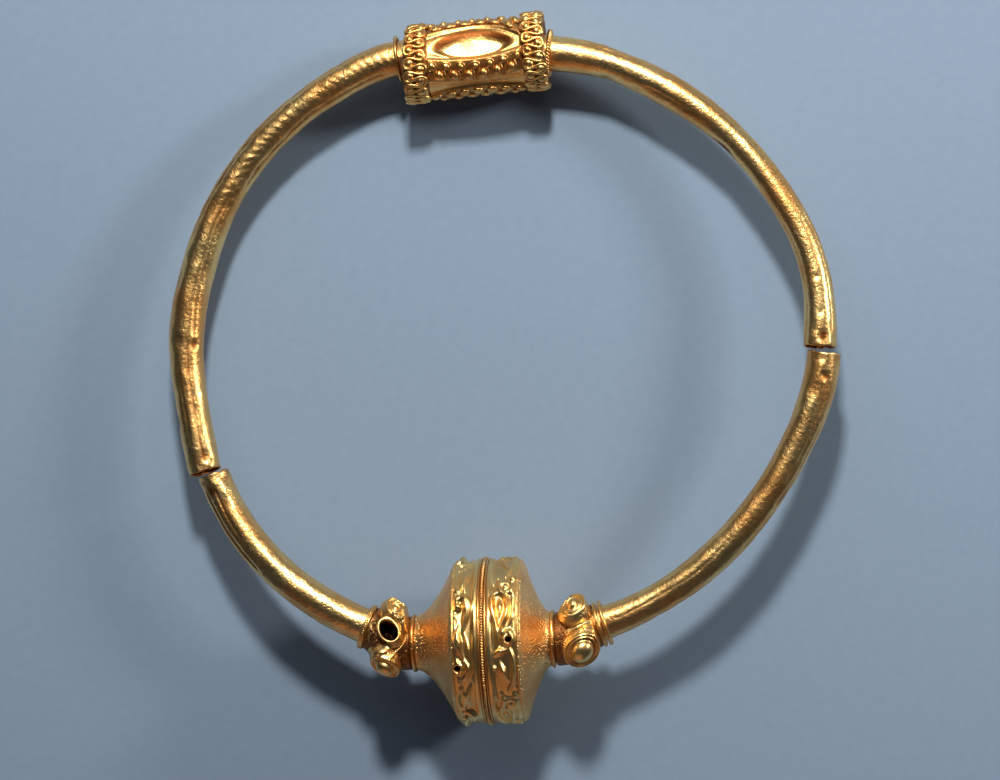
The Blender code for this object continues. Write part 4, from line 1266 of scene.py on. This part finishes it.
def muff_body():
    """The sleeve with its dished panels, end bands and bore."""
    columns = MUFF_COLUMNS
    end_t = np.linspace(0.03, 0.97, 22)
    inner_x = np.linspace(-shoulder, shoulder, 130)[1:-1]
    x = np.concatenate([-half_muff + END_WIDTH * end_t, inner_x, half_muff - END_WIDTH * end_t[::-1]])
    degrees = np.arange(columns) * 360 / columns
    grid_x, grid_a = np.meshgrid(x, degrees, indexing="ij")
    radius = np.full(grid_x.shape, BODY_RADIUS)
    hollow = np.full(grid_x.shape, 0.2)
    for k in range(len(ROW_ANGLES)):
        beside = np.abs(wrapped(grid_a - row_angle(k, grid_x)))
        row = step(4.0 * mm, 2.8 * mm, np.radians(beside) * BODY_RADIUS)
        radius += ROW_RISE * row
        # Painted shade: the band under each row of wire and granules darkens.
        hollow += 0.5 * row
    for k in range(len(ROW_ANGLES)):
        radius, hollow = panel(grid_x, grid_a, radius, hollow, k)
    turn = np.radians(grid_a)
    spot = np.stack([grid_x, np.cos(turn) * BODY_RADIUS, np.sin(turn) * BODY_RADIUS], axis=-1)
    radius += 0.08 * mm * lumps(spot, 4 * mm, 201)
    on_end = np.abs(grid_x) > shoulder
    end_share = np.clip((half_muff - np.abs(grid_x)) / END_WIDTH, 0, 1)
    band = BODY_RADIUS - 0.2 * mm + (END_HEIGHT - 1.3 * mm) * np.sin(math.pi * end_share) ** 0.5
    radius = np.where(on_end, band, radius)
    # Painted shade: the end bands under their winding are darkened.
    hollow = np.where(on_end, 0.85, hollow)
    side, top = ring_frames(muff_axis[None])
    spokes = np.cos(turn[0])[:, None] * top + np.sin(turn[0])[:, None] * side
    skin = muff_middle + muff_axis * lean(grid_x, radius, turn)[..., None] + spokes * radius[..., None]
    far = degrees_for(half_muff)
    parts = np.arange(1, 9) / 8
    bore_line = np.vstack([
        hoop_points(MUFF_ANGLE + 360 - far * parts[::-1], LEFT_BACK_BENDS),
        hoop_points(np.array([MUFF_ANGLE]), RIGHT_BACK_BENDS),
        hoop_points(MUFF_ANGLE + far * parts, RIGHT_BACK_BENDS),
    ])
    mouth = half_muff - 1.7 * mm
    bore_x = np.linspace(-mouth, mouth, 17)
    bore_at = (bore_line - muff_middle) @ muff_axis
    centre = np.stack([np.interp(bore_x, bore_at, bore_line[:, k]) for k in range(3)], axis=-1)
    bore = centre[:, None] + spokes[None] * (TUBE_RADIUS + CLEARANCE)
    lips = []
    for end in (-1, 1):
        lip_x = lean(np.full(columns, end * (half_muff - 0.3 * mm)), LIP_RADIUS, turn[0])
        lips.append(muff_middle + muff_axis * lip_x[:, None] + spokes * LIP_RADIUS)
    points = np.vstack([skin, lips[1][None], bore[::-1], lips[0][None]])
    # Painted shade inside the bore and its lips.
    marks = np.vstack([hollow, np.full((len(bore) + 2, columns), 1.0)])
    return shell("muff_sleeve", points, {"hollow": marks}, through_bore=True)


def winding_wire_pattern():
    """A wire that winds to and fro along X, flat in XY, with a granule in each of its bends."""
    pattern = Pattern("winding_wire", (
        ("Bends", "Int", 12), ("Pitch", "Float", 0.0044), ("Swing", "Float", 0.003),
        ("Bulge", "Float", 0.0009), ("Narrowing", "Float", 0.0), ("Wire Radius", "Float", 0.0003),
        ("Granule Radius", "Float", 0.0011), ("Granule Swing", "Float", 0.0018),
        ("Granule Lift", "Float", 0.0), ("Odd Growth", "Float", 0.0), ("Seed", "Int", 1),
        ("Gold", "Material", None),
    ))
    bends = pattern.given("Bends")
    pitch = pattern.given("Pitch")
    turns = bends * math.pi
    path = pattern.node("GeometryNodeCurvePrimitiveLine", None, {"End": (1.0, 0.0, 0.0)})
    path = pattern.node("GeometryNodeResampleCurve", None, {"Curve": path, "Count": bends * 18 + 1})
    share = pattern.node("GeometryNodeSplineParameter")
    phase = turns * share
    x = phase * pitch * (0.5 / math.pi)
    x = x - pattern.wave("SINE", phase * 2.0) * pattern.given("Bulge")
    x = x + pattern.wave("COSINE", phase) * pattern.given("Narrowing")
    y = pattern.wave("SINE", phase) * pattern.given("Swing")
    z = pattern.wave("COSINE", phase * 2.0) * pattern.given("Wire Radius") * -0.3
    place = pattern.node("ShaderNodeCombineXYZ", None, {"X": x, "Y": y, "Z": z})
    path = pattern.node("GeometryNodeSetPosition", None, {"Geometry": path, "Position": place})
    wire = pattern.wire(path, pattern.given("Wire Radius"), sides=10)
    spots = pattern.node("GeometryNodePoints", None, {"Count": bends})
    index = pattern.node("GeometryNodeInputIndex")
    middle = (index + 0.5) * math.pi
    spot = pattern.node("ShaderNodeCombineXYZ", None, {
        "X": (index + 0.5) * pitch * 0.5, "Y": pattern.wave("SINE", middle) * pattern.given("Granule Swing"),
        "Z": pattern.given("Granule Lift"),
    })
    spots = pattern.node("GeometryNodeSetPosition", None, {"Geometry": spots, "Position": spot})
    granule = pattern.node("GeometryNodeMeshIcoSphere", None, {
        "Subdivisions": 3, "Radius": pattern.given("Granule Radius"),
    })
    uneven = pattern.node(
        "FunctionNodeRandomValue", {"data_type": "FLOAT_VECTOR"},
        {0: (0.92, 0.95, 0.84), 1: (1.06, 1.15, 0.95), "Seed": pattern.given("Seed")},
    )
    grown = (1.0 - pattern.wave("SINE", middle)) * pattern.given("Odd Growth")
    growth = pattern.node("ShaderNodeCombineXYZ", None, {
        "X": grown * 0.25 + 1.0, "Y": grown + 1.0, "Z": grown * 0.1 + 1.0,
    })
    scale = pattern.node("ShaderNodeVectorMath", {"operation": "MULTIPLY"}, {0: uneven, 1: growth})
    granules = pattern.node("GeometryNodeInstanceOnPoints", None, {
        "Points": spots, "Instance": granule, "Scale": scale,
    })
    pattern.send_out(pattern.join(wire, granules))
    return pattern


def wrap_on_muff(mesh, along, degrees, height, swing_is_round, seed):
    """Bends a flat winding wire onto the muff: its X runs along the muff, or round it for an end band."""

    def change(points):
        flat = points * (1, 1, 0)
        loose = 0.22 * mm * np.stack([lumps(flat, 3.5 * mm, seed + k) for k in range(3)], axis=-1)
        loose[:, 2] *= 0.5
        x, y, z = (points + loose).T
        if swing_is_round:
            far = x + along
            angle = np.radians(degrees(far)) + y / (height(far, y) + z)
            out = height(far, y) + z
        else:
            far = along + y
            out = height(far, y) + z
            angle = x / (BODY_RADIUS + END_HEIGHT - 1.0 * mm) + np.radians(degrees(far))
        side, top = ring_frames(muff_axis[None])
        spokes = np.cos(angle)[:, None] * top + np.sin(angle)[:, None] * side
        placed = muff_middle + muff_axis * lean(far, out, angle)[:, None] + spokes * out[:, None]
        placed[:, 2] = np.maximum(placed[:, 2], 0)
        return placed

    reshape(mesh, change)


muff_gold = gold(
    "muff_gold", bright=(0.99, 0.65, 0.24), deep=(0.86, 0.44, 0.13), roughness=0.36,
    grain=0.12 * mm, grain_size=0.9 * mm,
)
dress(muff_body(), muff_gold, "muff_gold", "muff")
winding_wire = winding_wire_pattern()
for k in range(len(ROW_ANGLES)):
    name = f"muff_row_{k + 1}"
    pitch = 2 * (2 * shoulder - 0.4 * mm) / ROW_BENDS
    row = grow(name, winding_wire, {
        "Bends": ROW_BENDS, "Pitch": pitch, "Swing": -2.8 * mm, "Bulge": 0.80 * mm, "Narrowing": 0.22 * mm,
        "Wire Radius": 0.42 * mm, "Granule Radius": 1.22 * mm, "Granule Swing": -1.5 * mm,
        "Granule Lift": -0.3 * mm, "Odd Growth": 0.17, "Seed": 3 + k, "Gold": wire_gold,
    })
    wrap_on_muff(
        row, -shoulder + 0.2 * mm, lambda far, k=k: row_angle(k, far),
        lambda far, y: BODY_RADIUS + ROW_RISE + 0.32 * mm + 0 * far, True, 220 + 5 * k,
    )
    dress(linked(name, row), muff_gold, "muff_gold", "muff")
for name, end in (("muff_left_winding", -1), ("muff_right_winding", 1)):
    crest = BODY_RADIUS + END_HEIGHT - 1.0 * mm
    row = grow(name, winding_wire, {
        "Bends": END_BENDS, "Pitch": 4 * math.pi * crest / END_BENDS, "Swing": 3.15 * mm,
        "Bulge": 0.95 * mm, "Narrowing": 0.0,
        "Wire Radius": 0.46 * mm, "Granule Radius": 1.44 * mm, "Granule Swing": 1.75 * mm,
        "Granule Lift": -0.68 * mm, "Odd Growth": 0.0, "Seed": 11 + end, "Gold": wire_gold,
    })
    wrap_on_muff(
        row, end * (half_muff - END_WIDTH / 2), lambda far: 10.0 + 0 * far,
        lambda far, y: crest + 0.2 * mm - 0.6 * mm * (y / (3.4 * mm)) ** 2, False, 260 + end,
    )
    dress(linked(name, row), muff_gold, "muff_gold", "muff")

# Muff wires
# A thin plain ring closes the muff's left mouth, and a ring of two twisted wires its right one.


def twisted_ring_pattern():
    """Two thin wires twisted together and bent into a ring."""
    pattern = Pattern("twisted_ring", (
        ("Ring Radius", "Float", 0.0065), ("Twists", "Int", 20), ("Strand Radius", "Float", 0.0004),
        ("Gold", "Material", None),
    ))
    share = pattern.node("GeometryNodeSplineParameter")
    strand = pattern.given("Strand Radius")
    strands = []
    for phase in (0.0, math.pi):
        path = pattern.node("GeometryNodeCurvePrimitiveCircle", None, {"Resolution": 360, "Radius": 1.0})
        turn = share * (2 * math.pi)
        twist = turn * pattern.given("Twists") + phase
        out = pattern.wave("COSINE", twist) * strand + pattern.given("Ring Radius")
        place = pattern.node("ShaderNodeCombineXYZ", None, {
            "X": pattern.wave("COSINE", turn) * out, "Y": pattern.wave("SINE", turn) * out,
            "Z": pattern.wave("SINE", twist) * strand,
        })
        path = pattern.node("GeometryNodeSetPosition", None, {"Geometry": path, "Position": place})
        strands.append(pattern.wire(path, strand * 1.05, sides=8))
    pattern.send_out(pattern.join(*strands))
    return pattern


twisted_ring = twisted_ring_pattern()
for name, node, bends, start, direction, pattern in (
    ("muff_left_ring", "muff_left_wire", LEFT_BACK_BENDS, MUFF_ANGLE + 360, -1, plain_ring),
    ("muff_right_ring", "muff_right_wire", RIGHT_BACK_BENDS, MUFF_ANGLE, 1, twisted_ring),
):
    corners = [np.array(corner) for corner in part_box(node)]
    place = (corners[0] + corners[1]) / 2
    angles = start + direction * np.linspace(0, 20, 400)
    line = hoop_points(angles, bends)
    nearest = np.argmin(np.linalg.norm(line - place, axis=1)) - (20 if direction > 0 else 0)
    run = hoop_direction(float(angles[nearest]), bends)
    wire = grow(name, pattern, {
        "Ring Radius": TUBE_RADIUS + CLEARANCE + ROPE_RADIUS - 0.1 * mm, "Wire Radius": 0.55 * mm,
        "Twists": 22, "Strand Radius": 0.38 * mm, "Gold": wire_gold,
    })
    around_axis(wire, line[nearest], run)
    dress(linked(name, wire), wire_gold, "wire_gold", node)

# Floor, light and camera
# The torc lies on a plain blue-grey sheet.  A main light and a soft panel stand behind it, a weaker
# light stands to its right, and a weak warm card in front lights the torc alone.  The camera looks
# almost straight down, from a little to the right.

FLOOR_HALF = 1.2
floor_mesh = bpy.data.meshes.new("floor")
floor_mesh.from_pydata(
    [(FLOOR_HALF * x, FLOOR_HALF * y, 0) for x, y in ((-1, -1), (1, -1), (1, 1), (-1, 1))],
    [], [(0, 1, 2, 3)],
)
floor = bpy.data.objects.new("floor", floor_mesh)
bpy.context.scene.collection.objects.link(floor)
paper = Finish("paper")
fibre = paper.noise(3 * mm, detail=5.0)
paper_tone = paper.blend(fibre, (0.24, 0.33, 0.46), (0.28, 0.37, 0.50))
paper.feed(paper.shader, {"Base Color": paper_tone, "Roughness": 0.9})
floor_mesh.materials.append(paper.material)


def area_light(name, place, target, size, power, colour):
    """A square soft light that faces a point."""
    light = bpy.data.lights.new(name, "AREA")
    light.size = size
    light.energy = power
    light.color = colour
    holder = bpy.data.objects.new(name, light)
    holder.location = place
    holder.rotation_euler = (Vector(place) - Vector(target)).to_track_quat("Z", "Y").to_euler()
    bpy.context.scene.collection.objects.link(holder)
    return holder


area_light(
    "back_light", (0.02, 0.62, 0.71), (0, 0, 0), size=0.10, power=7.6, colour=(1.0, 0.97, 0.90),
)
area_light(
    "back_panel", (-0.05, 0.60, 0.62), (0, 0, 0), size=0.90, power=1.5, colour=(1.0, 0.97, 0.88),
)
area_light(
    "right_light", (0.82, 0.30, 0.42), (0, 0, 0), size=0.15, power=3.7, colour=(1.0, 0.96, 0.88),
)
warm_card = area_light(
    "warm_card", (-0.10, -0.50, 0.16), (0, -0.05, 0.02), size=0.50, power=0.24, colour=(1.0, 0.52, 0.28),
)
torc_alone = bpy.data.collections.new("torc_alone")
for piece in bpy.data.objects:
    if piece.type == "MESH" and piece != floor:
        torc_alone.objects.link(piece)
warm_card.light_linking.receiver_collection = torc_alone

world = bpy.data.worlds.new("studio")
world.use_nodes = True
sky = world.node_tree.nodes["Background"].inputs
sky["Color"].default_value = (0.55, 0.70, 1.0, 1)
sky["Strength"].default_value = 0.04
bpy.context.scene.world = world
bpy.context.scene.view_settings.view_transform = "Standard"

CAMERA_HEIGHT = 0.75
CAMERA_LEAN = 4.8
PHOTO_WIDTH = 296.7 * mm
LOOK_OFFSET = (-1.04 * mm, -13.65 * mm, 18 * mm)
FILM_WIDTH = 36
look_at = HOOP_MIDDLE + LOOK_OFFSET
camera = bpy.data.cameras.new("camera")
camera.sensor_width = FILM_WIDTH
camera.lens = FILM_WIDTH * CAMERA_HEIGHT / PHOTO_WIDTH
camera.clip_start = 0.01
viewer = bpy.data.objects.new("camera", camera)
camera_turn = math.radians(CAMERA_LEAN)
away = Vector((math.sin(camera_turn), 0, math.cos(camera_turn)))
viewer.location = Vector(look_at) + away * CAMERA_HEIGHT
viewer.rotation_euler = (0, camera_turn, 0)
bpy.context.scene.collection.objects.link(viewer)
bpy.context.scene.camera = viewer
